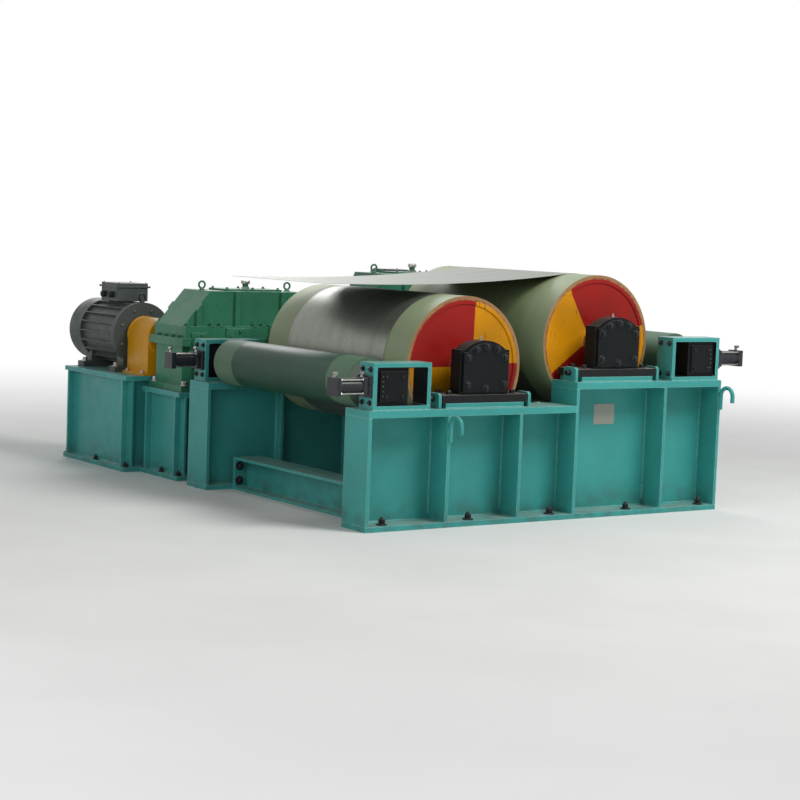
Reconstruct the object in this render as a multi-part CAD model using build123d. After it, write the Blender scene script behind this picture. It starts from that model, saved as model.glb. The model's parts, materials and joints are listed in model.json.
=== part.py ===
from build123d import *
import math
import os

os.makedirs("parts", exist_ok=True)

# A two-drum tension bridle for steel strip. +X is the strip's running direction,
# +Y goes from the operator's side to the drive side, +Z is up. The origin is on the
# floor, under the middle of the strip, halfway between the two drums. Millimetres.

# Drums
DRUM_RADIUS = 400.0
DRUM_FACE = 1500.0
DRUM_PITCH = 970.0
DRUM_RISE = 135.0
COVER_WALL = 15.0
SHELL_WALL = 30.0
DISC_WALL = 32.0
DISC_RECESS = 6.0
SHAFT_RADIUS = 95.0
JOURNAL_RADIUS = 80.0
SHAFT_END_RADIUS = 65.0
SHOULDER_GAP = 6.0

# Side frames: two welded beams with a low and a high deck
FRAME_TOP = 660.0
AXIS_ABOVE_DECK = 215.0
END_OVERHANG = 805.0
STEP_FROM_AXIS = 335.0
BEAM_WIDTH = 235.0
DRUM_TO_BEAM = 15.0
WEB_RECESS = 160.0
FLOOR_PLATE = 30.0
DECK_PLATE = 40.0
WEB_PLATE = 16.0
STIFFENER = 20.0
STIFFENER_SNIPE = 28.0
LOW_STIFFENER_OUT = 270.0
LOW_STIFFENER_IN = 235.0
HIGH_STIFFENER_OUT = 353.0
ANCHOR_RADIUS = 18.0
ANCHOR_PITCH = 585.0
ANCHOR_COUNT = 5
ANCHOR_MIDDLE = 20.0
ANCHOR_EDGE = 50.0

# Cross ties between the side frames
TIE_HEIGHT = 200.0
TIE_WIDTH = 200.0
TIE_FLANGE = 15.0
TIE_WEB = 10.0
TIE_END_PLATE = 20.0
TIE_SPACING = 1000.0

# Bearings of the drums
PAD_HEIGHT = 28.0
PAD_LENGTH = 545.0
SOLE_HEIGHT = 45.0
SOLE_LENGTH = 590.0
SOLE_WIDTH = 196.0
SOLE_TO_DRUM = 18.0
BEARING_WIDTH = 340.0
BEARING_SHOULDER = 108.0
BEARING_CROWN = 160.0
BEARING_ARCH = 290.0
BEARING_DEPTH = 90.0
BEARING_TO_DRUM = 104.0
BEARING_COVER = 16.0
COVER_INSET = 14.0
SEAL_RADIUS = 104.0
SEAL_PROUD = 10.0
RUNNING_FIT = 0.3
SHAFT_CLEARANCE = 1.5

# Keepers that hold each bearing sole endways, with their jacking screws
KEEPER_PLATE = 18.0
KEEPER_DEPTH = 110.0
KEEPER_HEIGHT = 84.0
KEEPER_CHAMFER = 14.0
KEEPER_GAP = 9.0
SCREW_RADIUS = 10.0
SCREW_HEAD = 15.0
SCREW_HEAD_ACROSS = 30.0
SCREW_TAIL = 14.0
SCREW_FIT = 0.2

# Lifting hooks bent from bar
HOOK_BAR_RADIUS = 13.0
HOOK_BAR_SIDES = 8
HOOK_BELOW_DECK = 30.0
HOOK_BEND = 50.0
HOOK_SHANK = 86.0
HOOK_DROP = 37.0

# Snubber rolls that press the strip on each drum
SNUB_RADIUS = 140.0
SNUB_FACE = 1480.0
SNUB_RUBBER = 18.0
SNUB_SHELL = 14.0
SNUB_SHAFT_RADIUS = 40.0
SNUB_REST_GAP = 3.0
SNUB_PRESS_GAP = 0.5
BRACKET_CLEARANCE = 49.0
BRACKET_WIDTH = 380.0
BRACKET_HEIGHT = 258.0
BRACKET_DEPTH = 135.0
BRACKET_PLATE = 25.0
BRACKET_SETBACK = 8.0
CHOCK_WIDTH = 210.0
CHOCK_DEPTH = 122.0
CHOCK_BORE_DEPTH = 80.0
CHOCK_COVER = 10.0
CHOCK_COVER_INSET = 22.0
SLIDE_FIT = 0.5

# Air cylinders of the snubber rolls
ROD_RADIUS = 12.5
ROD_OVERLAP = 20.0
AIR_FLANGE = 16.0
AIR_FLANGE_SIDE = 118.0
AIR_TUBE_RADIUS = 44.0
AIR_TUBE_SPARE = 44.0
AIR_CAP = 30.0
AIR_CAP_SIDE = 98.0

# Strip threaded through the bridle
STRIP_WIDTH = 1040.0
STRIP_THICKNESS = 1.5
STRIP_GAP = 0.5
SAG_ANGLE = 6.9
SAG_RADIUS = 11950.0

# Gear couplings and helical reducers
COUPLING_STANDOFF = 9.0
COUPLING_LENGTH = 190.0
COUPLING_SLEEVE_RADIUS = 132.0
COUPLING_FLANGE_RADIUS = 160.0
COUPLING_FLANGE = 36.0
OUTPUT_RADIUS = 60.0
OUTPUT_INSERT = 28.0
REDUCER_STANDOFF = 40.0
REDUCER_WIDTH = 440.0
REDUCER_BODY_WIDTH = 350.0
REDUCER_HEIGHT = 315.0
REDUCER_TOP = 325.0
REDUCER_NEAR_END = 300.0
REDUCER_FAR_END = 130.0
REDUCER_FOOT = 40.0
REDUCER_FLANGE = 26.0
REDUCER_LEDGE = 100.0
REDUCER_SLOPE = 190.0
REDUCER_RIB = 16.0
REDUCER_SHAFTS = (0.0, 340.0, 620.0)
REDUCER_CAP_RADII = (112.0, 90.0, 60.0)
REDUCER_CAP_PROUD = 16.0
LEDGE_INSET = 12.0
LID_LENGTH = 420.0
LID_WIDTH = 220.0
LID_PLATE = 12.0
BREATHER_RADIUS = 20.0
BREATHER_HEIGHT = 56.0

# Motors
MOTOR_RADIUS = 190.0
MOTOR_FIN = 22.0
MOTOR_FIN_WIDTH = 8.0
MOTOR_FIN_ROOT = 4.0
MOTOR_FINS = 20
MOTOR_STANDOFF = 355.0
MOTOR_LENGTH = 560.0
MOTOR_SHIELD = 45.0
MOTOR_COWL = 170.0
COWL_ROUND = 48.0
COWL_GRILLE_RADIUS = 140.0
COWL_GRILLE_DEPTH = 8.0
MOTOR_AXIS_HEIGHT = 250.0
MOTOR_FOOT = 36.0
MOTOR_FOOT_SPREAD = 400.0
MOTOR_FOOT_WIDTH = 90.0
MOTOR_NECK_SPREAD = 280.0
BOX_SIDE = 230.0
BOX_HEIGHT = 120.0
BOX_LENGTH = 260.0
BOX_CHAMFER = 14.0
BOX_RIM = 8.0
BOX_RIM_PLATE = 12.0
BOX_RIM_DROP = 18.0
GUARD_RADIUS = 120.0
GUARD_GAP = 12.0
GUARD_FOOT = 16.0

# Welded bases under the drives
BASE_PLATE = 30.0
BASE_WALL = 16.0
BASE_INSET = 45.0
BASE_MARGIN = 30.0
GUARD_SET_IN = 10.0
MOTOR_BASE_WIDTH = 560.0

# Places worked out from the sizes above
low_x = -DRUM_PITCH / 2
high_x = DRUM_PITCH / 2
low_deck = FRAME_TOP
high_deck = FRAME_TOP + DRUM_RISE
low_z = low_deck + AXIS_ABOVE_DECK
high_z = high_deck + AXIS_ABOVE_DECK
left_end = low_x - END_OVERHANG
right_end = high_x + END_OVERHANG
step_x = high_x - STEP_FROM_AXIS
drum_end = DRUM_FACE / 2
beam_inner = drum_end + DRUM_TO_BEAM
beam_outer = beam_inner + BEAM_WIDTH
web_outer = beam_outer - WEB_RECESS
web_inner = web_outer - WEB_PLATE
bearing_inner = drum_end + BEARING_TO_DRUM
bearing_outer = bearing_inner + BEARING_DEPTH
sole_inner = drum_end + SOLE_TO_DRUM
sole_outer = sole_inner + SOLE_WIDTH
bracket_outer = beam_outer - BRACKET_SETBACK
bracket_inner = bracket_outer - BRACKET_DEPTH
chock_outer = bracket_outer - (BRACKET_DEPTH - CHOCK_DEPTH) / 2
chock_inner = chock_outer - CHOCK_DEPTH
rod_y = (chock_outer + chock_inner) / 2
screw_reach = SOLE_LENGTH / 2 + KEEPER_GAP + KEEPER_PLATE + SCREW_TAIL + SCREW_HEAD
bracket_reach = screw_reach + BRACKET_CLEARANCE + BRACKET_WIDTH / 2
bracket_end = bracket_reach + BRACKET_WIDTH / 2
snub_height = BRACKET_HEIGHT / 2
snub_rest = bracket_end - BRACKET_PLATE - SNUB_REST_GAP - CHOCK_WIDTH / 2
strip_line = DRUM_RADIUS + STRIP_GAP + STRIP_THICKNESS / 2
press_distance = strip_line + STRIP_THICKNESS / 2 + SNUB_PRESS_GAP + SNUB_RADIUS
snub_pressed = math.sqrt(press_distance ** 2 - (AXIS_ABOVE_DECK - snub_height) ** 2)
snub_stroke = snub_rest - snub_pressed
air_tube_length = snub_stroke + ROD_OVERLAP + AIR_TUBE_SPARE
journal_end = bearing_outer + BEARING_COVER + SEAL_PROUD + SHOULDER_GAP
coupling_start = journal_end + COUPLING_STANDOFF
coupling_end = coupling_start + COUPLING_LENGTH
coupling_middle = (coupling_start + coupling_end) / 2
reducer_near = coupling_end + REDUCER_STANDOFF
reducer_far = reducer_near + REDUCER_WIDTH
reducer_middle = (reducer_near + reducer_far) / 2
output_tip = reducer_near + OUTPUT_INSERT
motor_near = reducer_far + MOTOR_STANDOFF
motor_far = motor_near + MOTOR_LENGTH
motor_middle = (motor_near + motor_far) / 2

DRUMS = {
    "drum_1": (low_x, low_z, low_deck, -1),
    "drum_2": (high_x, high_z, high_deck, 1),
}
SNUBBERS = {
    "left_snubber": (low_x, low_deck, -1),
    "right_snubber": (high_x, high_deck, 1),
}


# Small helpers

def block(x0, x1, y0, y1, z0, z1):
    """A box between two corners."""
    size = (abs(x1 - x0), abs(y1 - y0), abs(z1 - z0))
    middle = ((x0 + x1) / 2, (y0 + y1) / 2, (z0 + z1) / 2)
    return Pos(*middle) * Box(*size)


def along_y(x, z, radius, y0, y1):
    """A round bar along Y."""
    bar = Cylinder(radius, abs(y1 - y0), rotation=(90, 0, 0))
    return Pos(x, (y0 + y1) / 2, z) * bar


def along_x(y, z, radius, x0, x1):
    """A round bar along X."""
    bar = Cylinder(radius, abs(x1 - x0), rotation=(0, 90, 0))
    return Pos((x0 + x1) / 2, y, z) * bar


def plate_xz(outline, y0, y1):
    """A face drawn in X and Z, given thickness from y0 to y1."""
    return extrude(Plane.XZ.offset(-max(y0, y1)) * outline, abs(y1 - y0))


def turned(x, z, profile):
    """A solid of revolution about the line along Y through (x, z).
    The profile is a list of (radius, y) corners."""
    corners = [(radius, y) for radius, y in profile]
    face = make_face(Polyline(*corners, close=True))
    solid = revolve(face, Axis.Y)
    return Pos(x, 0, z) * solid


def far_side(shape):
    """The mirror image on the drive side."""
    return mirror(shape, about=Plane.XZ)


def both_sides(shapes):
    """The near pieces and their mirror images."""
    return list(shapes) + [far_side(shape) for shape in shapes]


def save(name, *shapes):
    """Writes one sub-part, whose solids stay separate."""
    solids = [solid for shape in shapes for solid in shape.solids()]
    shape = solids[0] if len(solids) == 1 else Compound(children=solids)
    export_step(shape, f"parts/{name}.step")


# Side frames

def frame_webs():
    """The upright plates of one beam, each side of the step."""
    left = block(left_end + STIFFENER, step_x, -web_outer, -web_inner,
                 FLOOR_PLATE, low_deck - DECK_PLATE)
    right = block(step_x + STIFFENER, right_end - STIFFENER, -web_outer, -web_inner,
                  FLOOR_PLATE, high_deck - DECK_PLATE)
    return [left, right]


def frame_flanges():
    """The floor plate with its anchor holes, and the low and the high deck."""
    floor = block(left_end, right_end, -beam_outer, -beam_inner, 0, FLOOR_PLATE)
    for i in range(ANCHOR_COUNT):
        x = ANCHOR_MIDDLE + (i - (ANCHOR_COUNT - 1) / 2) * ANCHOR_PITCH
        hole = Cylinder(ANCHOR_RADIUS, 2 * FLOOR_PLATE)
        floor -= Pos(x, -(beam_outer - ANCHOR_EDGE), FLOOR_PLATE / 2) * hole
    low = block(left_end, step_x, -beam_outer, -beam_inner,
                low_deck - DECK_PLATE, low_deck)
    high = block(step_x, right_end, -beam_outer, -beam_inner,
                 high_deck - DECK_PLATE, high_deck)
    return [floor, low, high]


def stiffener(x, top, y_free, y_web):
    """One rib from floor plate to deck, snipped where it meets the web."""
    bottom = FLOOR_PLATE
    inward = STIFFENER_SNIPE if y_free < y_web else -STIFFENER_SNIPE
    corners = [
        (y_free, bottom),
        (y_web - inward, bottom),
        (y_web, bottom + STIFFENER_SNIPE),
        (y_web, top - STIFFENER_SNIPE),
        (y_web - inward, top),
        (y_free, top),
    ]
    face = Plane.YZ * make_face(Polyline(*corners, close=True))
    return Pos(x - STIFFENER / 2, 0, 0) * extrude(face, STIFFENER)


def frame_stiffeners():
    """Ribs on both faces of the web, the end plates and the step plate."""
    ribs = []
    places = (
        (low_x - LOW_STIFFENER_OUT, low_deck),
        (low_x + LOW_STIFFENER_IN, low_deck),
        (high_x + HIGH_STIFFENER_OUT, high_deck),
    )
    for x, deck in places:
        ribs.append(stiffener(x, deck - DECK_PLATE, -beam_outer, -web_outer))
        ribs.append(stiffener(x, deck - DECK_PLATE, -beam_inner, -web_inner))
    for x, deck in ((left_end, low_deck), (step_x, high_deck), (right_end - STIFFENER, high_deck)):
        ribs.append(block(x, x + STIFFENER, -beam_outer, -beam_inner,
                          FLOOR_PLATE, deck - DECK_PLATE))
    return ribs


def lifting_hook(x, deck):
    """A bar welded up the front edge of a plate and bent over outwards, open downwards."""
    bend_z = deck - HOOK_BELOW_DECK - HOOK_BAR_RADIUS - HOOK_BEND
    shank_y = -(beam_outer + HOOK_BAR_RADIUS)
    foot = Vector(x, shank_y, bend_z - HOOK_SHANK)
    shoulder = Vector(x, shank_y, bend_z)
    top = Vector(x, shank_y - HOOK_BEND, bend_z + HOOK_BEND)
    down = Vector(x, shank_y - 2 * HOOK_BEND, bend_z)
    tip = Vector(x, shank_y - 2 * HOOK_BEND, bend_z - HOOK_DROP)
    path = Wire([Line(foot, shoulder), ThreePointArc(shoulder, top, down), Line(down, tip)])
    bar = RegularPolygon(HOOK_BAR_RADIUS, HOOK_BAR_SIDES, major_radius=False,
                         rotation=180 / HOOK_BAR_SIDES)
    section = Plane(origin=foot, z_dir=(0, 0, 1)) * bar
    return sweep(section, path)


def lifting_hooks():
    """Hooks on the outer low rib and on the high end plate."""
    outer_rib = low_x - LOW_STIFFENER_OUT
    end_plate = right_end - STIFFENER / 2
    return [lifting_hook(outer_rib, low_deck), lifting_hook(end_plate, high_deck)]


def cross_tie(x):
    """A rolled H beam with end plates, between the side frames."""
    web_top = TIE_HEIGHT - TIE_FLANGE
    reach = beam_inner - TIE_END_PLATE
    beam = block(x - TIE_WIDTH / 2, x + TIE_WIDTH / 2, -reach, reach, 0, TIE_FLANGE)
    beam += block(x - TIE_WEB / 2, x + TIE_WEB / 2, -reach, reach, TIE_FLANGE, web_top)
    beam += block(x - TIE_WIDTH / 2, x + TIE_WIDTH / 2, -reach, reach, web_top, TIE_HEIGHT)
    for side in (-1, 1):
        beam += block(x - TIE_WIDTH / 2, x + TIE_WIDTH / 2, side * reach, side * beam_inner,
                      0, TIE_HEIGHT)
    return beam


# Bearings of the drums

def bearing_pad(x, deck):
    """The machined pad welded on the deck."""
    return block(x - PAD_LENGTH / 2, x + PAD_LENGTH / 2, -sole_outer, -sole_inner,
                 deck, deck + PAD_HEIGHT)


def bearing_sole(x, deck):
    """The sole plate that the bearing stands on."""
    base = deck + PAD_HEIGHT
    return block(x - SOLE_LENGTH / 2, x + SOLE_LENGTH / 2, -sole_outer, -sole_inner,
                 base, base + SOLE_HEIGHT)


def bearing_outline(x, z, inset):
    """The housing's face: square sides, shoulders and an arched crown."""
    half = BEARING_WIDTH / 2 - inset
    foot = z - AXIS_ABOVE_DECK + PAD_HEIGHT + SOLE_HEIGHT + inset
    shoulder = z + BEARING_SHOULDER - inset
    arch = BEARING_ARCH / 2 - inset
    crown = z + BEARING_CROWN - inset
    sides = Polyline((x - arch, shoulder), (x - half, shoulder), (x - half, foot),
                     (x + half, foot), (x + half, shoulder), (x + arch, shoulder))
    arc = ThreePointArc((x + arch, shoulder), (x, crown), (x - arch, shoulder))
    return make_face([sides.edges(), arc.edges()])


def bearing_housing(x, z):
    """The near housing, bored for the drum's journal."""
    body = plate_xz(bearing_outline(x, z, 0), -bearing_outer, -bearing_inner)
    return body - along_y(x, z, JOURNAL_RADIUS + RUNNING_FIT,
                          -bearing_outer - 1, -bearing_inner + 1)


def closed_cover(x, z):
    """The operator side's cover, which hides the shaft end."""
    return plate_xz(bearing_outline(x, z, COVER_INSET),
                    -bearing_outer - BEARING_COVER, -bearing_outer)


def open_cover(x, z):
    """The drive side's cover, with a seal collar round the shaft."""
    face = bearing_outer + BEARING_COVER
    cover = plate_xz(bearing_outline(x, z, COVER_INSET), bearing_outer, face)
    cover += along_y(x, z, SEAL_RADIUS, face, face + SEAL_PROUD)
    return cover - along_y(x, z, JOURNAL_RADIUS + SHAFT_CLEARANCE,
                           bearing_outer - 1, face + SEAL_PROUD + 1)


def keeper_plates(x, deck):
    """Two upright plates with cut corners, one at each end of a sole."""
    plates = []
    reach = SOLE_LENGTH / 2 + KEEPER_GAP
    for side in (-1, 1):
        near = x + side * reach
        plate = block(near, near + side * KEEPER_PLATE, -sole_outer, -sole_outer + KEEPER_DEPTH,
                      deck, deck + KEEPER_HEIGHT)
        plate = chamfer(plate.edges().filter_by(Axis.X).group_by(Axis.Z)[-1], KEEPER_CHAMFER)
        plate -= along_x(-sole_outer + KEEPER_DEPTH / 2, screw_height(deck),
                         SCREW_RADIUS + SCREW_FIT, near - side, near + side * (KEEPER_PLATE + 1))
        plates.append(plate)
    return plates


def screw_height(deck):
    """Jacking screws push on the middle of the sole's end."""
    return deck + PAD_HEIGHT + SOLE_HEIGHT / 2


def keeper_screws(x, deck):
    """Jacking screws through the keepers, with their heads outside."""
    screws = []
    y = -sole_outer + KEEPER_DEPTH / 2
    z = screw_height(deck)
    for side in (-1, 1):
        tip = x + side * SOLE_LENGTH / 2
        under_head = tip + side * (KEEPER_GAP + KEEPER_PLATE + SCREW_TAIL)
        hexagon = RegularPolygon(SCREW_HEAD_ACROSS / 2, 6, major_radius=False)
        head = extrude(Plane.YZ * hexagon, SCREW_HEAD)
        head_x = under_head if side > 0 else under_head - SCREW_HEAD
        screws.append(along_x(y, z, SCREW_RADIUS, tip, under_head) + Pos(head_x, y, z) * head)
    return screws


# Drums

def drum_cover(x, z):
    """The elastic covering on the steel shell."""
    outer, inner = DRUM_RADIUS, DRUM_RADIUS - COVER_WALL
    return turned(x, z, [(inner, -drum_end), (outer, -drum_end),
                         (outer, drum_end), (inner, drum_end)])


def drum_shell(x, z):
    """The steel tube under the covering."""
    outer = DRUM_RADIUS - COVER_WALL
    inner = outer - SHELL_WALL
    return turned(x, z, [(inner, -drum_end), (outer, -drum_end),
                         (outer, drum_end), (inner, drum_end)])


def drum_disc(x, z):
    """The near end disc, a little inside the shell."""
    rim = DRUM_RADIUS - COVER_WALL - SHELL_WALL
    face = -(drum_end - DISC_RECESS)
    return turned(x, z, [(SHAFT_RADIUS, face), (rim, face),
                         (rim, face + DISC_WALL), (SHAFT_RADIUS, face + DISC_WALL)])


def drum_shaft(x, z):
    """The through shaft: a thick middle, journals and a drive end."""
    shoulder = bearing_inner - SHOULDER_GAP
    near_end = bearing_outer - SHOULDER_GAP
    return turned(x, z, [(0, -near_end), (JOURNAL_RADIUS, -near_end),
                         (JOURNAL_RADIUS, -shoulder), (SHAFT_RADIUS, -shoulder),
                         (SHAFT_RADIUS, shoulder), (JOURNAL_RADIUS, shoulder),
                         (JOURNAL_RADIUS, journal_end), (SHAFT_END_RADIUS, journal_end),
                         (SHAFT_END_RADIUS, coupling_middle), (0, coupling_middle)])


def drum_coupling(x, z):
    """A gear coupling on the drum's shaft end, with the reducer's output shaft."""
    flange0 = coupling_middle - COUPLING_FLANGE / 2
    flange1 = coupling_middle + COUPLING_FLANGE / 2
    return turned(x, z, [(SHAFT_END_RADIUS, coupling_start), (COUPLING_SLEEVE_RADIUS, coupling_start),
                         (COUPLING_SLEEVE_RADIUS, flange0), (COUPLING_FLANGE_RADIUS, flange0),
                         (COUPLING_FLANGE_RADIUS, flange1), (COUPLING_SLEEVE_RADIUS, flange1),
                         (COUPLING_SLEEVE_RADIUS, coupling_end), (OUTPUT_RADIUS, coupling_end),
                         (OUTPUT_RADIUS, output_tip), (0, output_tip),
                         (0, coupling_middle), (SHAFT_END_RADIUS, coupling_middle)])


# Snubber rolls

def snub_sleeve(x, z):
    """The rubber sleeve."""
    inner = SNUB_RADIUS - SNUB_RUBBER
    end = SNUB_FACE / 2
    return turned(x, z, [(inner, -end), (SNUB_RADIUS, -end), (SNUB_RADIUS, end), (inner, end)])


def snub_tube(x, z):
    """The steel tube with its end discs."""
    outer = SNUB_RADIUS - SNUB_RUBBER
    end = SNUB_FACE / 2
    tube = turned(x, z, [(SNUB_SHAFT_RADIUS, -end), (outer, -end),
                         (outer, end), (SNUB_SHAFT_RADIUS, end)])
    hollow = turned(x, z, [(SNUB_SHAFT_RADIUS, -end + SNUB_SHELL),
                           (outer - SNUB_SHELL, -end + SNUB_SHELL),
                           (outer - SNUB_SHELL, end - SNUB_SHELL),
                           (SNUB_SHAFT_RADIUS, end - SNUB_SHELL)])
    return tube - hollow


def snub_shaft(x, z):
    """The through shaft that turns in both chocks."""
    tip = chock_inner + CHOCK_BORE_DEPTH - SHOULDER_GAP
    return along_y(x, z, SNUB_SHAFT_RADIUS, -tip, tip)


def bracket_rails(axis_x, deck, side):
    """The near pair of level plates that a chock slides between."""
    middle = axis_x + side * bracket_reach
    half = BRACKET_WIDTH / 2
    rails = []
    for bottom in (deck, deck + BRACKET_HEIGHT - BRACKET_PLATE):
        rails.append(block(middle - half, middle + half, -bracket_outer, -bracket_inner,
                           bottom, bottom + BRACKET_PLATE))
    return rails


def bracket_posts(axis_x, deck, side):
    """The near pair of upright plates; the outer one lets the rod through."""
    middle = axis_x + side * bracket_reach
    posts = []
    for end in (-1, 1):
        face = middle + end * BRACKET_WIDTH / 2
        post = block(face - end * BRACKET_PLATE, face, -bracket_outer, -bracket_inner,
                     deck + BRACKET_PLATE, deck + BRACKET_HEIGHT - BRACKET_PLATE)
        if end == side:
            post -= along_x(-rod_y, deck + snub_height, ROD_RADIUS + SHAFT_CLEARANCE,
                            face - end * (BRACKET_PLATE + 1), face + end)
        posts.append(post)
    return posts


def snub_chock(x, deck):
    """The near sliding block with its blind bore and front cover."""
    bottom = deck + BRACKET_PLATE + SLIDE_FIT
    top = deck + BRACKET_HEIGHT - BRACKET_PLATE - SLIDE_FIT
    half = CHOCK_WIDTH / 2
    face = -chock_outer + CHOCK_COVER
    chock = block(x - half, x + half, face, -chock_inner, bottom, top)
    chock += block(x - half + CHOCK_COVER_INSET, x + half - CHOCK_COVER_INSET,
                   -chock_outer, face, bottom + CHOCK_COVER_INSET, top - CHOCK_COVER_INSET)
    return chock - along_y(x, deck + snub_height, SNUB_SHAFT_RADIUS + RUNNING_FIT,
                           -chock_inner - CHOCK_BORE_DEPTH, -chock_inner + 1)


def square_bar(side, x0, x1, y, z):
    """A square bar along X, centred on its axis."""
    return block(x0, x1, y - side / 2, y + side / 2, z - side / 2, z + side / 2)


def air_cylinder(axis_x, deck, side):
    """The near air cylinder: mounting flange, square head, tube and square end cap."""
    z = deck + snub_height
    face = axis_x + side * bracket_end
    head = face + side * AIR_FLANGE
    tube_end = head + side * air_tube_length
    body = square_bar(AIR_FLANGE_SIDE, face, head, -rod_y, z)
    body += square_bar(AIR_CAP_SIDE, head, head + side * AIR_CAP, -rod_y, z)
    body += along_x(-rod_y, z, AIR_TUBE_RADIUS, head, tube_end)
    body += square_bar(AIR_CAP_SIDE, tube_end, tube_end + side * AIR_CAP, -rod_y, z)
    bore_end = tube_end - side * AIR_TUBE_SPARE / 2
    return body - along_x(-rod_y, z, ROD_RADIUS + SHAFT_CLEARANCE, face - side, bore_end)


def snub_rod(x, axis_x, deck, side):
    """The near piston rod, from the chock into the cylinder."""
    face = axis_x + side * bracket_end
    inside = face + side * (AIR_FLANGE + ROD_OVERLAP + snub_stroke)
    return along_x(-rod_y, deck + snub_height, ROD_RADIUS, x + side * CHOCK_WIDTH / 2, inside)


# Strip

def strip_piece(points, arc_centre=None):
    """One stretch of strip in the XZ plane: a straight run or an arc about a centre."""
    half = STRIP_THICKNESS / 2
    (x0, z0), (x1, z1) = points[0], points[-1]
    if arc_centre is None:
        length = math.hypot(x1 - x0, z1 - z0)
        nx, nz = -(z1 - z0) / length * half, (x1 - x0) / length * half
        corners = [(x0 + nx, z0 + nz), (x1 + nx, z1 + nz), (x1 - nx, z1 - nz), (x0 - nx, z0 - nz)]
        return make_face(Polyline(*corners, close=True))
    cx, cz = arc_centre
    inner = [scaled(cx, cz, point, -half) for point in points]
    outer = [scaled(cx, cz, point, half) for point in points]
    return make_face([
        ThreePointArc(*inner).edges(), Line(inner[-1], outer[-1]).edges(),
        ThreePointArc(*reversed(outer)).edges(), Line(outer[0], inner[0]).edges(),
    ])


def scaled(cx, cz, point, change):
    """The point moved outwards from a centre by change."""
    radius = math.hypot(point[0] - cx, point[1] - cz)
    share = (radius + change) / radius
    return (cx + (point[0] - cx) * share, cz + (point[1] - cz) * share)


def on_circle(centre, angle, radius=strip_line):
    """A point on a circle round a centre, by its angle in degrees."""
    turn = math.radians(angle)
    return (centre[0] + radius * math.cos(turn), centre[1] + radius * math.sin(turn))


def strip_arc(centre, start, end, radius=strip_line):
    """A curved stretch of strip between two angles about a centre."""
    angles = (start, (start + end) / 2, end)
    return strip_piece([on_circle(centre, angle, radius) for angle in angles], centre)


def steel_strip():
    """The strip: it sags in to drum 2, goes down between the drums and round drum 1."""
    low, high = (low_x, low_z), (high_x, high_z)
    between = math.hypot(DRUM_PITCH, DRUM_RISE)
    tilt = math.degrees(math.atan2(DRUM_RISE, DRUM_PITCH))
    spread = math.degrees(math.acos(2 * strip_line / between))
    leave = 180 + tilt + spread
    meet = tilt + spread
    enter = 90 + SAG_ANGLE
    sag_centre = on_circle(high, enter, strip_line + SAG_RADIUS)
    level = on_circle(sag_centre, 270, SAG_RADIUS)
    pieces = [
        strip_piece([(left_end, level[1]), level]),
        strip_arc(sag_centre, 270, 270 + SAG_ANGLE, SAG_RADIUS),
        strip_arc(high, enter, leave - 360),
        strip_piece([on_circle(high, leave), on_circle(low, meet)]),
        strip_arc(low, meet, 270),
        strip_piece([on_circle(low, 270), (right_end, low_z - strip_line)]),
    ]
    outline = pieces[0]
    for piece in pieces[1:]:
        outline += piece
    return plate_xz(outline, -STRIP_WIDTH / 2, STRIP_WIDTH / 2)


# Drives

def reducer_ends(x, side):
    """Where a reducer's case starts and ends along X."""
    near = x - side * REDUCER_NEAR_END
    far = x + side * (REDUCER_SHAFTS[-1] + REDUCER_FAR_END)
    return near, far


def reducer_roof(x, side):
    """Where the level roof of a reducer starts and ends along X."""
    near, far = reducer_ends(x, side)
    start = near + side * (REDUCER_FLANGE + REDUCER_SLOPE / 2)
    end = far - side * (REDUCER_FLANGE + REDUCER_SLOPE)
    return start, end


def reducer_walls_y():
    """The near and far faces of the case between its flanges."""
    return reducer_middle - REDUCER_BODY_WIDTH / 2, reducer_middle + REDUCER_BODY_WIDTH / 2


def reducer_base(x, z, side):
    """The lower half of a reducer: foot, case, bolting flange and a rib under each bearing."""
    near, far = reducer_ends(x, side)
    wall0, wall1 = reducer_walls_y()
    foot = z - REDUCER_HEIGHT
    inset = side * REDUCER_FLANGE
    case = block(near, far, reducer_near, reducer_far, foot, foot + REDUCER_FOOT)
    case += block(near + inset, far - inset, wall0, wall1, foot, z)
    case += block(near, far, reducer_near, reducer_far, z - REDUCER_FLANGE, z)
    for offset, radius in zip(REDUCER_SHAFTS, REDUCER_CAP_RADII):
        shaft_x = x + side * offset
        case += block(shaft_x - REDUCER_RIB / 2, shaft_x + REDUCER_RIB / 2,
                      reducer_near, reducer_far, foot, z)
        case += block(shaft_x - radius, shaft_x + radius, reducer_near, reducer_far, z - radius, z)
    return case - output_hole(x, z)


def reducer_top(x, z, side):
    """The upper half: bolting flange, bearing ledge, sloped case and ribs."""
    near, far = reducer_ends(x, side)
    wall0, wall1 = reducer_walls_y()
    roof0, roof1 = reducer_roof(x, side)
    inset = side * REDUCER_FLANGE
    ledge = z + REDUCER_LEDGE
    case = block(near, far, reducer_near, reducer_far, z, z + REDUCER_FLANGE)
    case += block(near + inset, far - inset, reducer_near + LEDGE_INSET,
                  reducer_far - LEDGE_INSET, z, ledge)
    outline = make_face(Polyline(
        (near + inset, z), (near + inset, ledge), (roof0, z + REDUCER_TOP),
        (roof1, z + REDUCER_TOP), (far - inset, ledge), (far - inset, z), close=True))
    case += plate_xz(outline, wall0, wall1)
    for offset, radius in zip(REDUCER_SHAFTS, REDUCER_CAP_RADII):
        shaft_x = x + side * offset
        rib = block(shaft_x - REDUCER_RIB, shaft_x + REDUCER_RIB, reducer_near + 2 * LEDGE_INSET,
                    reducer_far - 2 * LEDGE_INSET, z, z + REDUCER_TOP)
        case += rib & plate_xz(outline, reducer_near, reducer_far)
        case += block(shaft_x - radius, shaft_x + radius, reducer_near, reducer_far, z, z + radius)
    return case - output_hole(x, z)


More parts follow.
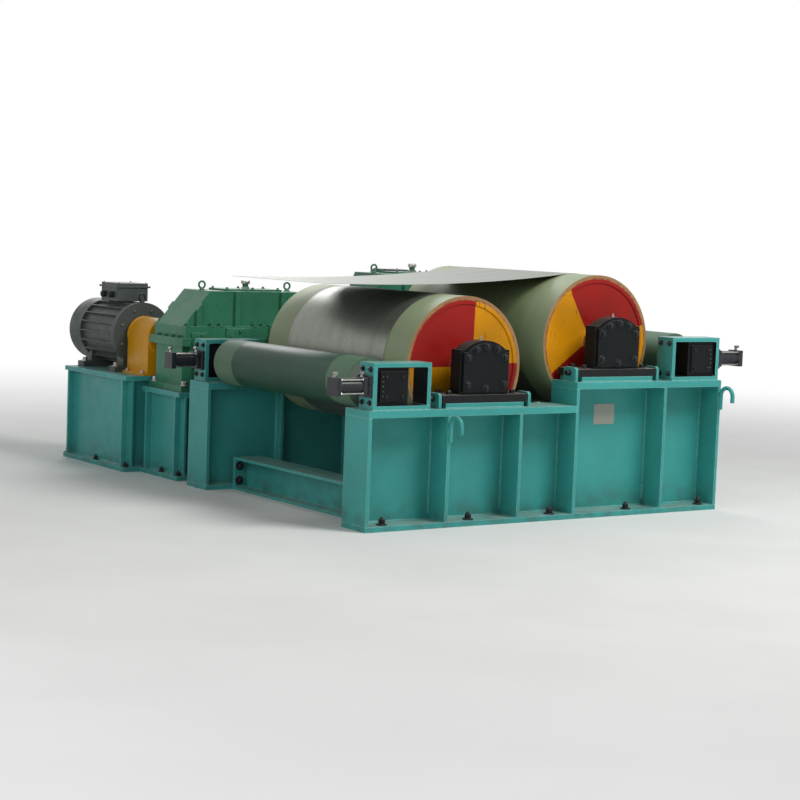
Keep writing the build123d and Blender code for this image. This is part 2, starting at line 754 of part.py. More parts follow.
def output_hole(x, z):
    """The hole in the reducer's near face that its output shaft turns in."""
    return along_y(x, z, OUTPUT_RADIUS + RUNNING_FIT,
                   reducer_near - 1, output_tip + SHOULDER_GAP)


def reducer_caps(x, z, side):
    """Bearing caps on both faces; the output's near cap is a ring."""
    caps = []
    for offset, radius in zip(REDUCER_SHAFTS, REDUCER_CAP_RADII):
        cap_x = x + side * offset
        near = along_y(cap_x, z, radius, reducer_near - REDUCER_CAP_PROUD, reducer_near)
        if offset == REDUCER_SHAFTS[0]:
            near -= along_y(cap_x, z, OUTPUT_RADIUS + SHAFT_CLEARANCE,
                            reducer_near - REDUCER_CAP_PROUD - 1, reducer_near + 1)
        caps.append(near)
        caps.append(along_y(cap_x, z, radius, reducer_far, reducer_far + REDUCER_CAP_PROUD))
    return caps


def reducer_lid(x, z, side):
    """The inspection lid with its breather, in the middle of the roof."""
    middle_x = sum(reducer_roof(x, side)) / 2
    top = z + REDUCER_TOP
    lid = block(middle_x - LID_LENGTH / 2, middle_x + LID_LENGTH / 2,
                reducer_middle - LID_WIDTH / 2, reducer_middle + LID_WIDTH / 2,
                top, top + LID_PLATE)
    breather = Cylinder(BREATHER_RADIUS, BREATHER_HEIGHT)
    return lid + Pos(middle_x, reducer_middle, top + LID_PLATE + BREATHER_HEIGHT / 2) * breather


def motor_axis(x, side):
    """A motor stands behind the reducer's input shaft."""
    return x + side * REDUCER_SHAFTS[-1]


def motor(x, z, side):
    """The finned motor with end shields, feet and fan cowl."""
    mx = motor_axis(x, side)
    body = along_y(mx, z, MOTOR_RADIUS, motor_near, motor_far)
    fin = block(-MOTOR_FIN_WIDTH / 2, MOTOR_FIN_WIDTH / 2,
                motor_near + MOTOR_SHIELD, motor_far - MOTOR_SHIELD,
                MOTOR_RADIUS - MOTOR_FIN_ROOT, MOTOR_RADIUS + MOTOR_FIN)
    for i in range(MOTOR_FINS):
        body += Pos(mx, 0, z) * Rot(0, 360 / MOTOR_FINS * i, 0) * fin
    body += along_y(mx, z, MOTOR_RADIUS + MOTOR_FIN, motor_near, motor_near + MOTOR_SHIELD)
    foot = z - MOTOR_AXIS_HEIGHT
    half = MOTOR_FOOT_SPREAD / 2
    neck = MOTOR_NECK_SPREAD / 2
    for y in (motor_near, motor_far - MOTOR_FOOT_WIDTH):
        body += block(mx - half, mx + half, y, y + MOTOR_FOOT_WIDTH, foot, foot + MOTOR_FOOT)
        body += block(mx - neck, mx + neck, y, y + MOTOR_FOOT_WIDTH, foot, z)
    return body + fan_cowl(mx, z)


def fan_cowl(mx, z):
    """The rear end shield and the fan cowl behind it, with a sunk place for its grille."""
    rim = MOTOR_RADIUS + MOTOR_FIN
    start = motor_far - MOTOR_SHIELD
    end = motor_far + MOTOR_COWL
    return turned(mx, z, [(0, start), (rim, start), (rim, end - COWL_ROUND),
                          (rim - COWL_ROUND, end), (COWL_GRILLE_RADIUS, end),
                          (COWL_GRILLE_RADIUS, end - COWL_GRILLE_DEPTH),
                          (0, end - COWL_GRILLE_DEPTH)])


def motor_box(x, z, side):
    """The terminal box on top of the motor, with the rim of its lid."""
    mx = motor_axis(x, side)
    base = z + MOTOR_RADIUS + MOTOR_FIN
    half = BOX_SIDE / 2
    length = BOX_LENGTH / 2
    box = block(mx - half, mx + half, motor_middle - length, motor_middle + length,
                base, base + BOX_HEIGHT)
    box = chamfer(box.edges().filter_by(Axis.Z), BOX_CHAMFER)
    rim_top = base + BOX_HEIGHT - BOX_RIM_DROP
    rim = block(mx - half - BOX_RIM, mx + half + BOX_RIM, motor_middle - length - BOX_RIM,
                motor_middle + length + BOX_RIM, rim_top - BOX_RIM_PLATE, rim_top)
    return box + rim


def coupling_guard(x, z, side):
    """The closed guard over the coupling between reducer and motor."""
    mx = motor_axis(x, side)
    start = reducer_far + REDUCER_CAP_PROUD + GUARD_GAP
    end = motor_near - GUARD_GAP
    base = z - MOTOR_AXIS_HEIGHT
    foot0 = reducer_far + BASE_MARGIN + GUARD_SET_IN
    foot1 = end - GUARD_SET_IN
    guard = along_y(mx, z, GUARD_RADIUS, start, end)
    guard += block(mx - GUARD_RADIUS, mx + GUARD_RADIUS, foot0, foot1, base, z)
    guard += block(mx - GUARD_RADIUS - 2 * GUARD_FOOT, mx + GUARD_RADIUS + 2 * GUARD_FOOT,
                   foot0, foot1, base, base + GUARD_FOOT)
    return guard


def pedestal(x0, x1, y0, y1, top):
    """A welded base: floor plate, top plate and a ribbed wall between them."""
    x0, x1 = min(x0, x1), max(x0, x1)
    floor = block(x0, x1, y0, y1, 0, BASE_PLATE)
    deck = block(x0, x1, y0, y1, top - BASE_PLATE, top)
    z0, z1 = BASE_PLATE, top - BASE_PLATE
    i = BASE_INSET
    wall = block(x0 + i, x1 - i, y0 + i, y1 - i, z0, z1)
    w = i + BASE_WALL
    wall -= block(x0 + w, x1 - w, y0 + w, y1 - w, z0 - 1, z1 + 1)
    for share in (0.0, 1.0 / 3.0, 2.0 / 3.0, 1.0):
        rib_x = x0 + i + share * (x1 - x0 - 2 * i - BASE_WALL)
        wall += block(rib_x, rib_x + BASE_WALL, y0, y0 + i, z0, z1)
        wall += block(rib_x, rib_x + BASE_WALL, y1 - i, y1, z0, z1)
    for share in (0.0, 1.0):
        rib_y = y0 + i + share * (y1 - y0 - 2 * i - BASE_WALL)
        wall += block(x0, x0 + i, rib_y, rib_y + BASE_WALL, z0, z1)
        wall += block(x1 - i, x1, rib_y, rib_y + BASE_WALL, z0, z1)
    return [floor, deck], wall


def reducer_stand(x, z, side):
    """The pedestal under a reducer."""
    near, far = reducer_ends(x, side)
    return pedestal(near - side * BASE_MARGIN, far + side * BASE_MARGIN,
                    reducer_near - BASE_MARGIN, reducer_far + BASE_MARGIN, z - REDUCER_HEIGHT)


def motor_stand(x, z, side):
    """The higher pedestal under a motor, against the reducer's."""
    mx = motor_axis(x, side)
    half = MOTOR_BASE_WIDTH / 2
    return pedestal(mx - half, mx + half, reducer_far + BASE_MARGIN, motor_far + BASE_MARGIN,
                    z - MOTOR_AXIS_HEIGHT)


# The sub-parts, one file each

def save_frame():
    """The side frames, their ties and hooks."""
    save("frame_webs", *both_sides(frame_webs()))
    save("frame_flanges", *both_sides(frame_flanges()))
    save("frame_stiffeners", *both_sides(frame_stiffeners()))
    save("lifting_hooks", *both_sides(lifting_hooks()))
    save("cross_ties", *[cross_tie(x) for x in (-TIE_SPACING, 0.0, TIE_SPACING)])


def save_bearings():
    """The four bearings with their pads, soles and keepers."""
    pads, soles, plates, screws, housings, covers = [], [], [], [], [], []
    for x, z, deck, side in DRUMS.values():
        pads.append(bearing_pad(x, deck))
        soles.append(bearing_sole(x, deck))
        plates += keeper_plates(x, deck)
        screws += keeper_screws(x, deck)
        housings.append(bearing_housing(x, z))
        covers += [closed_cover(x, z), open_cover(x, z)]
    save("bearing_pads", *both_sides(pads))
    save("bearing_soles", *both_sides(soles))
    save("keeper_plates", *both_sides(plates))
    save("keeper_screws", *both_sides(screws))
    save("bearing_housings", *both_sides(housings))
    save("bearing_covers", *covers)


def save_drums():
    """Both drums, each with its own pieces."""
    for name, (x, z, deck, side) in DRUMS.items():
        save(f"{name}_cover", drum_cover(x, z))
        save(f"{name}_shell", drum_shell(x, z))
        save(f"{name}_end_discs", *both_sides([drum_disc(x, z)]))
        save(f"{name}_shaft", drum_shaft(x, z))
        save(f"{name}_coupling", drum_coupling(x, z))


def save_drives():
    """The reducers and motors of both drums, on their welded bases."""
    bases, tops, caps, lids = [], [], [], []
    motors, boxes, guards = [], [], []
    reducer_plates, reducer_walls, motor_plates, motor_walls = [], [], [], []
    for x, z, deck, side in DRUMS.values():
        bases.append(reducer_base(x, z, side))
        tops.append(reducer_top(x, z, side))
        caps += reducer_caps(x, z, side)
        lids.append(reducer_lid(x, z, side))
        motors.append(motor(x, z, side))
        boxes.append(motor_box(x, z, side))
        guards.append(coupling_guard(x, z, side))
        stand_plates, stand_wall = reducer_stand(x, z, side)
        reducer_plates += stand_plates
        reducer_walls.append(stand_wall)
        stand_plates, stand_wall = motor_stand(x, z, side)
        motor_plates += stand_plates
        motor_walls.append(stand_wall)
    save("reducer_bases", *bases)
    save("reducer_tops", *tops)
    save("reducer_caps", *caps)
    save("reducer_lids", *lids)
    save("motors", *motors)
    save("terminal_boxes", *boxes)
    save("coupling_guards", *guards)
    save("reducer_stand_plates", *reducer_plates)
    save("reducer_stand_walls", *reducer_walls)
    save("motor_stand_plates", *motor_plates)
    save("motor_stand_walls", *motor_walls)


def save_snubbers():
    """Both snubber rolls with their chocks, guides and cylinders."""
    rails, posts, cylinders = [], [], []
    for name, (axis_x, deck, side) in SNUBBERS.items():
        x, z = axis_x + side * snub_rest, deck + snub_height
        save(f"{name}_sleeve", snub_sleeve(x, z))
        save(f"{name}_tube", snub_tube(x, z))
        save(f"{name}_shaft", snub_shaft(x, z))
        save(f"{name}_chocks", *both_sides([snub_chock(x, deck)]))
        save(f"{name}_rods", *both_sides([snub_rod(x, axis_x, deck, side)]))
        rails += bracket_rails(axis_x, deck, side)
        posts += bracket_posts(axis_x, deck, side)
        cylinders.append(air_cylinder(axis_x, deck, side))
    save("snubber_rails", *both_sides(rails))
    save("snubber_posts", *both_sides(posts))
    save("air_cylinders", *both_sides(cylinders))


save_frame()
save_bearings()
save_drums()
save_drives()
save_snubbers()
save("steel_strip", steel_strip())
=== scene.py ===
import json
import math
import random
from itertools import product

import bmesh
import bpy
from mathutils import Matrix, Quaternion, Vector


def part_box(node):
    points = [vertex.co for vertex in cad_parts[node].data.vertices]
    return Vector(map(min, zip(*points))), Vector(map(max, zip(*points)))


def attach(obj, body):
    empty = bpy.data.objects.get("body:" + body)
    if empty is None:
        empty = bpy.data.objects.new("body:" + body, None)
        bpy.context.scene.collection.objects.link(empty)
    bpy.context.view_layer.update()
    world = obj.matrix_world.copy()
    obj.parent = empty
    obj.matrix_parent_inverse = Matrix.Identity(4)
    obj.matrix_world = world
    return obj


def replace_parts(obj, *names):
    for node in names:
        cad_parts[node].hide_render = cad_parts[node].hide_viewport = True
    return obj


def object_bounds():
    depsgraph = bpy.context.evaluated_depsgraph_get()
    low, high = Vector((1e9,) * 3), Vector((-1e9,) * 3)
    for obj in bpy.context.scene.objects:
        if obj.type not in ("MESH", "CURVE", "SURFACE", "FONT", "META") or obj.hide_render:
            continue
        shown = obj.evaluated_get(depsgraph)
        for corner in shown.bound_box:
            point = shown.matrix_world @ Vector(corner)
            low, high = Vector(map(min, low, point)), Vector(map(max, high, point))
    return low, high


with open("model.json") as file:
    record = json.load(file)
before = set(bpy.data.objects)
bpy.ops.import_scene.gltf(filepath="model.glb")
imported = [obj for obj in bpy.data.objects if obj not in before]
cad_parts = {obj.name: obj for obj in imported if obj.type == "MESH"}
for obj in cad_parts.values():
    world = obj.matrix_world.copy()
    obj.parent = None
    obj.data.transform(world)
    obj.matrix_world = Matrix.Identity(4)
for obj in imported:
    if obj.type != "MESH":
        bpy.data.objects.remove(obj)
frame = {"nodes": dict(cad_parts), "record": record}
cad_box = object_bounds()

# The looks of a two-drum tension bridle for steel strip. Metres, in the CAD's frame:
# +X is the strip's direction, -Y is the operator's side, +Z is up.

chance = random.Random(11)

UP, DOWN, ALONG = (0, 0, 1), (0, 0, -1), (0, 1, 0)
BOTH = (-1, 1)

# Places read from the frame
AXES = {name: sum(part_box(f"{name}_cover"), Vector()) / 2 for name in ("drum_1", "drum_2")}
low_axis, high_axis = AXES["drum_1"], AXES["drum_2"]
beam_low, beam_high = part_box("frame_flanges")
web_low, web_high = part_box("frame_webs")
rails_low, rails_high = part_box("snubber_rails")
low_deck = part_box("keeper_plates")[0].z
high_deck = beam_high.z
DECKS = {"drum_1": low_deck, "drum_2": high_deck}
SIDES = {"drum_1": -1, "drum_2": 1}
SNUBBERS = {"drum_1": "left_snubber", "drum_2": "right_snubber"}

# Sizes of the welded frame that the boxes do not give
FLOOR_PLATE = 0.030
DECK_PLATE = 0.040
WEB_PLATE = 0.016
RIB_PLATE = 0.020
RIB_SNIPE = 0.028
RIBS_FROM_LOW_AXIS = (-0.270, 0.235)
RIB_FROM_HIGH_AXIS = 0.353
STEP_FROM_HIGH_AXIS = 0.335
BEAM_INNER = 0.765
PAD_PLATE = 0.028
PAD_DEPTH = 0.196
SOLE_PLATE = 0.045
KEEPER_FROM_AXIS = 0.322
KEEPER_DEPTH = 0.110
GUIDE_WIDTH = 0.380
GUIDE_HEIGHT = 0.258
GUIDE_DEPTH = 0.135
GUIDE_PLATE = 0.025


def outward_x(drum, offset):
    """X at an offset from a drum's axis, away from the other drum."""
    return AXES[drum].x + SIDES[drum] * offset


def guide_ends(drum):
    """The outer and inner X faces of a drum's chock guides."""
    outer = rails_high.x if SIDES[drum] > 0 else rails_low.x
    return outer, outer - SIDES[drum] * GUIDE_WIDTH


# Mesh building

class Shape:
    """Corners and faces of a piece."""

    def __init__(self):
        self.verts, self.faces = [], []

    def add(self, verts, faces):
        """Adds corners, and faces that number them from 0."""
        start = len(self.verts)
        self.verts += [tuple(v) for v in verts]
        self.faces += [tuple(start + i for i in face) for face in faces]

    def skin(self, rings, closed=False):
        """Quads between rings of corners, with end faces unless closed."""
        count = len(rings[0])
        last = len(rings) if closed else len(rings) - 1
        faces = []
        for i in range(last):
            a, b = i * count, (i + 1) % len(rings) * count
            for j in range(count):
                k = (j + 1) % count
                faces.append((a + j, a + k, b + k, b + j))
        if not closed:
            faces += [range(count), range(last * count, len(rings) * count)]
        self.add([v for ring in rings for v in ring], faces)

    def mesh(self, name, material):
        made = bpy.data.meshes.new(name)
        made.from_pydata(self.verts, [], self.faces)
        made.materials.append(material)
        return made


def directions(axis):
    """Two directions square to an axis, and the axis."""
    axis = Vector(axis).normalized()
    helper = Vector(UP) if abs(axis.z) < 0.9 else Vector((1, 0, 0))
    across = axis.cross(helper).normalized()
    return across, axis.cross(across), axis


def circle(centre, across, other, radius, sides, turn=0.0):
    """Corners of a circle in the plane of two directions."""
    angles = [turn + math.tau * i / sides for i in range(sides)]
    return [centre + (across * math.cos(a) + other * math.sin(a)) * radius for a in angles]


def lathe(shape, origin, axis, profile, sides, closed=False, turn=0.0):
    """A turned form. The profile lists (radius, height along the axis)."""
    across, other, along = directions(axis)
    origin = Vector(origin)
    rings = [circle(origin + along * height, across, other, radius, sides, turn)
             for radius, height in profile]
    shape.skin(rings, closed)


def ring_tube(shape, origin, radius, thick, sides, facets, ripple=0.0):
    """A bar bent into a ring round the Y axis, with a weld's ripple if wanted."""
    across, other, along = directions(ALONG)
    centre = Vector(origin)
    rings = []
    for i, spoke in enumerate(circle(Vector(), across, other, 1.0, sides)):
        size = thick * (1 + (ripple if i % 2 else -ripple))
        rings.append(circle(centre + spoke * radius, spoke, along, size, facets))
    shape.skin(rings, closed=True)


def tube(shape, points, radius, facets):
    """A round bar through points, with flat ends."""
    points = [Vector(p) for p in points]
    across, other, along = directions(points[1] - points[0])
    rings = []
    for i, point in enumerate(points):
        before, after = points[max(i - 1, 0)], points[min(i + 1, len(points) - 1)]
        turned = along.rotation_difference(after - before)
        across, other = turned @ across, turned @ other
        along = (after - before).normalized()
        rings.append(circle(point, across, other, radius, facets))
    shape.skin(rings)


def plate(shape, low, high, chamfer):
    """A flat block with chamfered edges."""
    low, high = Vector(map(min, low, high)), Vector(map(max, low, high))
    middle, half = (low + high) / 2, (high - low) / 2
    part = bmesh.new()
    bmesh.ops.create_cube(part, size=2)
    for v in part.verts:
        v.co = middle + v.co * half
    offset = min(chamfer, 0.4 * min(half))
    bmesh.ops.bevel(part, geom=part.edges[:], offset=offset, segments=1, affect="EDGES")
    part.verts.index_update()
    shape.add([v.co for v in part.verts], [[v.index for v in f.verts] for f in part.faces])
    part.free()


def washer(shape, origin, axis, radius, thick):
    """A washer, sunk 0.5 mm into its seat. Returns the place on top."""
    edge = 0.15 * thick
    lathe(shape, origin, axis, [(radius, -0.0005), (radius, thick - edge), (radius - edge, thick)], 20)
    return Vector(origin) + Vector(axis).normalized() * thick


def bolt(shape, origin, axis, across, with_washer=True):
    """A hexagon head on the origin, over a washer if wanted."""
    if with_washer:
        origin = washer(shape, origin, axis, 0.92 * across, 0.16 * across)
    corner = across / math.sqrt(3)
    head = 0.64 * across
    profile = [(corner, -0.0004), (corner, 0.86 * head), (0.88 * corner, head)]
    lathe(shape, origin, axis, profile, 6, turn=chance.uniform(0, math.tau))
    lathe(shape, origin, axis, [(0.80 * corner, 0.9 * head), (0.76 * corner, 1.06 * head)], 16)


def stud_nut(shape, origin, axis, across, proud):
    """A nut on a threaded stud, over a washer."""
    seat = washer(shape, origin, axis, 0.95 * across, 0.22 * across)
    corner = across / math.sqrt(3)
    nut = 0.8 * across
    profile = [(0.9 * corner, -0.0004), (corner, 0.1 * nut), (corner, 0.9 * nut), (0.9 * corner, nut)]
    lathe(shape, seat, axis, profile, 6, turn=chance.uniform(0, math.tau))
    thread = 0.32 * across
    pitch = 0.09 * across
    count = max(2, int(proud / pitch))
    profile = []
    for i in range(count):
        profile += [(thread, nut + i * pitch), (0.88 * thread, nut + (i + 0.5) * pitch)]
    profile.append((0.8 * thread, nut + count * pitch))
    lathe(shape, seat, axis, profile, 14)


def socket_screw(shape, origin, axis, radius):
    """A cap screw with its round socket."""
    high = 1.1 * radius
    profile = [(radius, -0.0004), (radius, 0.88 * high), (0.9 * radius, high),
               (0.52 * radius, high), (0.46 * radius, 0.45 * high)]
    lathe(shape, origin, axis, profile, 16)


def bolt_circle(x, y, z, radius, count):
    """Even places on a circle round the Y axis, from half a step on."""
    return circle(Vector((x, y, z)), Vector((1, 0, 0)), Vector(UP), radius, count, math.pi / count)


def eye_bolt(shape, x, y, roof, thick, collar):
    """A lifting ring over a turned collar."""
    ring_tube(shape, (x, y, roof + 0.034), 0.022, thick, 28, 10)
    lathe(shape, (x, y, roof), UP, collar, 20)


BEAD_STEP = 0.012


def bead(shape, start, end, one, other, leg=0.008):
    """A fillet weld. one and other point away from its corner, along the faces."""
    start, end, one, other = map(Vector, (start, end, one, other))
    steps = max(2, int((end - start).length / BEAD_STEP))
    rings = []
    for i in range(steps + 1):
        point = start.lerp(end, i / steps)
        size = leg * (1.0 if i % 2 else 0.8) * chance.uniform(0.94, 1.06)
        if i in (0, steps):
            size *= 0.6
        rings.append([point - (one + other) * 0.001, point + one * size,
                      point + (one + other) * 0.62 * size, point + other * size])
    shape.skin(rings)


def new_object(name, data):
    """A new object in the scene for a mesh, a light or a camera."""
    made = bpy.data.objects.new(name, data)
    bpy.context.scene.collection.objects.link(made)
    return made


def piece(name, shape, material, body="frame", smooth=32):
    """The finished object, riding on its CAD body."""
    mesh = shape.mesh(name, material)
    part = bmesh.new()
    part.from_mesh(mesh)
    bmesh.ops.recalc_face_normals(part, faces=part.faces)
    for edge in part.edges:
        edge.smooth = len(edge.link_faces) == 2 and edge.calc_face_angle(0.0) < math.radians(smooth)
    for face in part.faces:
        face.smooth = True
    part.to_mesh(mesh)
    part.free()
    made = new_object(name, mesh)
    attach(made, body)
    return made


# Materials

def linear(code):
    """A linear colour from an sRGB code."""
    values = [int(code[i:i + 2], 16) / 255 for i in (0, 2, 4)]
    return tuple(v / 12.92 if v <= 0.04045 else ((v + 0.055) / 1.055) ** 2.4 for v in values) + (1.0,)


def toned(colour, factor):
    """A colour made darker or lighter."""
    return tuple(min(1.0, c * factor) for c in colour[:3]) + (1.0,)


class Nodes:
    """The nodes of a material or of the world."""

    def __init__(self, owner):
        owner.use_nodes = True
        self.tree = owner.node_tree
        self.tree.nodes.clear()

    def node(self, kind, values=(), **settings):
        """A node, with its inputs by index or name."""
        made = self.tree.nodes.new("ShaderNode" + kind)
        for key, value in settings.items():
            setattr(made, key, value)
        for key, value in dict(values).items():
            self.put(made.inputs[key], value)
        return made

    def put(self, socket, value):
        """Links a socket to a node's output, or sets its value."""
        if isinstance(value, bpy.types.NodeSocket):
            self.tree.links.new(value, socket)
        else:
            socket.default_value = value

    def maths(self, operation, *values):
        return self.node("Math", enumerate(values), operation=operation).outputs[0]


class Shader(Nodes):
    """A material under construction."""

    def __init__(self, name):
        self.material = bpy.data.materials.new(name)
        super().__init__(self.material)
        self.output = self.node("OutputMaterial")
        self.surface = self.node("BsdfPrincipled")
        self.put(self.output.inputs[0], self.surface.outputs[0])
        self.place = self.node("TexCoord")

    def set(self, **inputs):
        """Sets the surface's sockets, named with _ for a space."""
        for key, value in inputs.items():
            self.put(self.surface.inputs[key.replace("_", " ")], value)

    def times(self, first, *others):
        for other in others:
            first = self.maths("MULTIPLY", first, other)
        return first

    def length(self, a, b):
        return self.maths("POWER", self.maths("ADD", self.times(a, a), self.times(b, b)), 0.5)

    def spread(self, value, low, high, out_low=0.0, out_high=1.0):
        """A value carried from one range to another, eased."""
        values = enumerate((value, low, high, out_low, out_high))
        return self.node("MapRange", values, interpolation_type="SMOOTHSTEP").outputs[0]

    def blend(self, share, first, second, kind="MIX"):
        values = {0: share, 6: first, 7: second}
        return self.node("Mix", values, data_type="RGBA", blend_type=kind).outputs[2]

    def noise(self, scale, detail=3.0, stretch=(1, 1, 1), shift=0.0):
        """Noise in the object's space, stretched along its axes."""
        values = {0: self.place.outputs["Object"], 1: (shift, shift, shift), 3: stretch}
        mapped = self.node("Mapping", values)
        made = self.node("TexNoise", {"Vector": mapped.outputs[0], "Scale": scale, "Detail": detail})
        return made.outputs["Fac"]

    def parts(self, which="Object"):
        """X, Y and Z of the object's place or normal."""
        return self.node("SeparateXYZ", {0: self.place.outputs[which]}).outputs

    def rounded(self, radius):
        """The normal, with edges rounded."""
        return self.node("Bevel", {"Radius": radius}, samples=4).outputs[0]

    def bump(self, height, distance, strength, edge=0.0):
        """Fine relief, over rounded edges where a radius is given."""
        values = {"Height": height, "Distance": distance, "Strength": strength}
        if edge:
            values["Normal"] = self.rounded(edge)
        self.set(Normal=self.node("Bump", values).outputs[0])

    def edges(self, radius):
        """1 on sharp outer edges and 0 on flat faces."""
        values = {0: self.rounded(radius), 1: self.node("NewGeometry").outputs["Normal"]}
        along = self.node("VectorMath", values, operation="DOT_PRODUCT").outputs["Value"]
        return self.spread(along, 0.97, 0.75)

    def dusted(self, colour, amount):
        """Dust on faces that look up."""
        up = self.spread(self.parts("Normal")[2], 0.55, 0.98)
        patch = self.spread(self.noise(7.0, 5.0), 0.30, 0.72, 0.35, 1.0)
        return self.blend(self.times(up, patch, amount), colour, linear("B9B5A8"))

    def grimed(self, colour, amount):
        """Dirt near the floor."""
        near = self.spread(self.parts()[2], 0.22, 0.0)
        patch = self.spread(self.noise(11.0, 6.0, shift=3.0), 0.35, 0.70)
        return self.blend(self.times(near, patch, amount), colour, linear("4F4A40"))


def painted(name, code, roughness, mottle, dust=0.0, grime=0.0, edge_wear_and_highlight=None, edge_amount=0.5,
            cast=0.0, edge=0.004, shine=0.25, edge_reach=0.005, inside=None):
    """Paint on steel or a casting. edge_wear_and_highlight is the colour of the edges: rubbed paint, and
    on the teal and the soles partly a painted highlight; cast the coarseness of a casting, inside a mask
    painted black."""
    s = Shader(name)
    base = linear(code)
    dark = toned(base, 1 - mottle)
    broad = s.spread(s.noise(2.3, 4.0), 0.3, 0.7)
    colour = s.blend(broad, dark, toned(base, 1 + mottle))
    fine = s.spread(s.noise(60.0, 2.0), 0.35, 0.65, 0.0, 0.25)
    colour = s.blend(fine, colour, dark)
    runs = s.spread(s.noise(9.0, 3.0, (1, 1, 0.12), 5.0), 0.55, 0.75, 0.0, 0.18)
    colour = s.blend(runs, colour, dark)
    if grime:
        colour = s.grimed(colour, grime)
    if dust:
        colour = s.dusted(colour, dust)
    # Paler edges: rubbed paint, and on the teal and the soles partly a painted highlight
    if edge_wear_and_highlight:
        chips = s.spread(s.noise(45.0, 4.0, shift=1.0), 0.36, 0.56, 0.25)
        colour = s.blend(s.times(s.edges(edge_reach), chips, edge_amount), colour, linear(edge_wear_and_highlight))
    if inside:
        colour = s.blend(inside(s), colour, linear("15171A"))
    s.set(Base_Color=colour, Specular_IOR_Level=shine)
    s.set(Roughness=s.spread(s.noise(14.0, 4.0), 0.3, 0.7, roughness - 0.06, roughness + 0.12))
    s.bump(s.noise(22.0 if cast else 160.0, 3.0), 0.004 * cast + 0.0004, 0.5, edge)
    return s.material


def bare_metal(name, code, roughness, stretch=(1, 1, 1), tone=0.2, edge=0.0):
    """Machined or plated steel. Its tool marks run where the stretch is small."""
    s = Shader(name)
    base = linear(code)
    marks = s.noise(40.0, 4.0, stretch)
    colour = s.blend(s.spread(marks, 0.3, 0.7), toned(base, 1 - 2 * tone), base)
    spots = s.spread(s.noise(6.0, 6.0, shift=2.0), 0.60, 0.78, 0.0, 0.35)
    s.set(Base_Color=s.blend(spots, colour, linear("6B5A48")), Metallic=1.0)
    s.set(Roughness=s.spread(marks, 0.3, 0.7, roughness + 0.10, roughness - 0.06))
    s.bump(marks, 0.0006, 0.35, edge)
    return s.material


# Each drum's painted end: where a paint starts in degrees from +X towards +Z, and
# how far right of and above the axis the quarters cross
SECTORS = {
    "drum_1": ((0, "red"), (2, "yellow"), (88, "red"), (181, "yellow"), (268, "red")),
    "drum_2": ((0, "yellow"), (12, "red"), (119, "yellow"), (214, "red"), (298, "yellow")),
}
CROSSINGS = {"drum_1": (0.060, 0.002), "drum_2": (-0.044, 0.016)}
PAINTS = {"red": "981A15", "yellow": "D48E06"}
PAINT_REACH = 0.376


def quarter_colours(s, drum, turn):
    """The paint at a turn round the crossing, from 0 to 1."""
    ramp = s.node("ValToRGB", {0: turn})
    ramp.color_ramp.interpolation = "CONSTANT"
    stops = ramp.color_ramp.elements
    for index, (degrees, paint) in enumerate(SECTORS[drum]):
        stop = stops[index] if index < 2 else stops.new(degrees / 360)
        stop.position = degrees / 360
        stop.color = linear(PAINTS[paint])
    return ramp.outputs[0]


def sector_paint(name, drum):
    """Red and yellow quarters round a crossing that misses the axis, in a rusty rim."""
    s = Shader(name)
    x, y, z = s.parts()
    right = s.maths("SUBTRACT", x, AXES[drum].x)
    up = s.maths("SUBTRACT", z, AXES[drum].z)
    past, over = CROSSINGS[drum]
    turned = s.maths("ARCTAN2", s.maths("SUBTRACT", up, over), s.maths("SUBTRACT", right, past))
    angle = s.maths("DIVIDE", turned, math.tau)
    wander = s.times(s.maths("SUBTRACT", s.noise(14.0, 2.0), 0.5), 0.006)
    colour = quarter_colours(s, drum, s.maths("FRACT", s.maths("ADD", angle, wander)))
    shade = s.spread(s.noise(3.0, 5.0), 0.3, 0.7, 0.80, 1.12)
    grey = s.node("CombineColor", {0: shade, 1: shade, 2: shade}).outputs[0]
    colour = s.blend(1.0, colour, grey, "MULTIPLY")
    scuffs = s.spread(s.noise(30.0, 6.0, (1, 1, 0.3), 4.0), 0.64, 0.72, 0.0, 0.55)
    colour = s.blend(scuffs, colour, linear("5E3A2C"))
    reach = s.length(right, up)
    ragged = s.maths("ADD", reach, s.times(s.maths("SUBTRACT", s.noise(40.0), 0.5), 0.010))
    rim = s.spread(ragged, PAINT_REACH - 0.001, PAINT_REACH + 0.002)
    rust = s.blend(s.spread(s.noise(25.0, 4.0), 0.4, 0.6), linear("A57C52"), linear("84583A"))
    s.set(Base_Color=s.blend(rim, colour, rust), Specular_IOR_Level=0.2)
    s.set(Roughness=s.spread(s.noise(12.0, 4.0), 0.3, 0.7, 0.34, 0.52))
    s.bump(s.noise(120.0), 0.0006, 0.5)
    return s.material


def in_guides(s):
    """1 inside the four chock guides, whose inner faces are coloured near black."""
    x, y, z = s.parts()
    skin_depth = GUIDE_PLATE - 0.0008
    inside = 0.0
    for drum, deck in DECKS.items():
        off_x = s.maths("ABSOLUTE", s.maths("SUBTRACT", x, sum(guide_ends(drum)) / 2))
        off_z = s.maths("ABSOLUTE", s.maths("SUBTRACT", z, deck + GUIDE_HEIGHT / 2))
        near_x = s.maths("LESS_THAN", off_x, GUIDE_WIDTH / 2 - skin_depth)
        near_z = s.maths("LESS_THAN", off_z, GUIDE_HEIGHT / 2 - skin_depth)
        inside = s.maths("MAXIMUM", inside, s.times(near_x, near_z))
    return inside


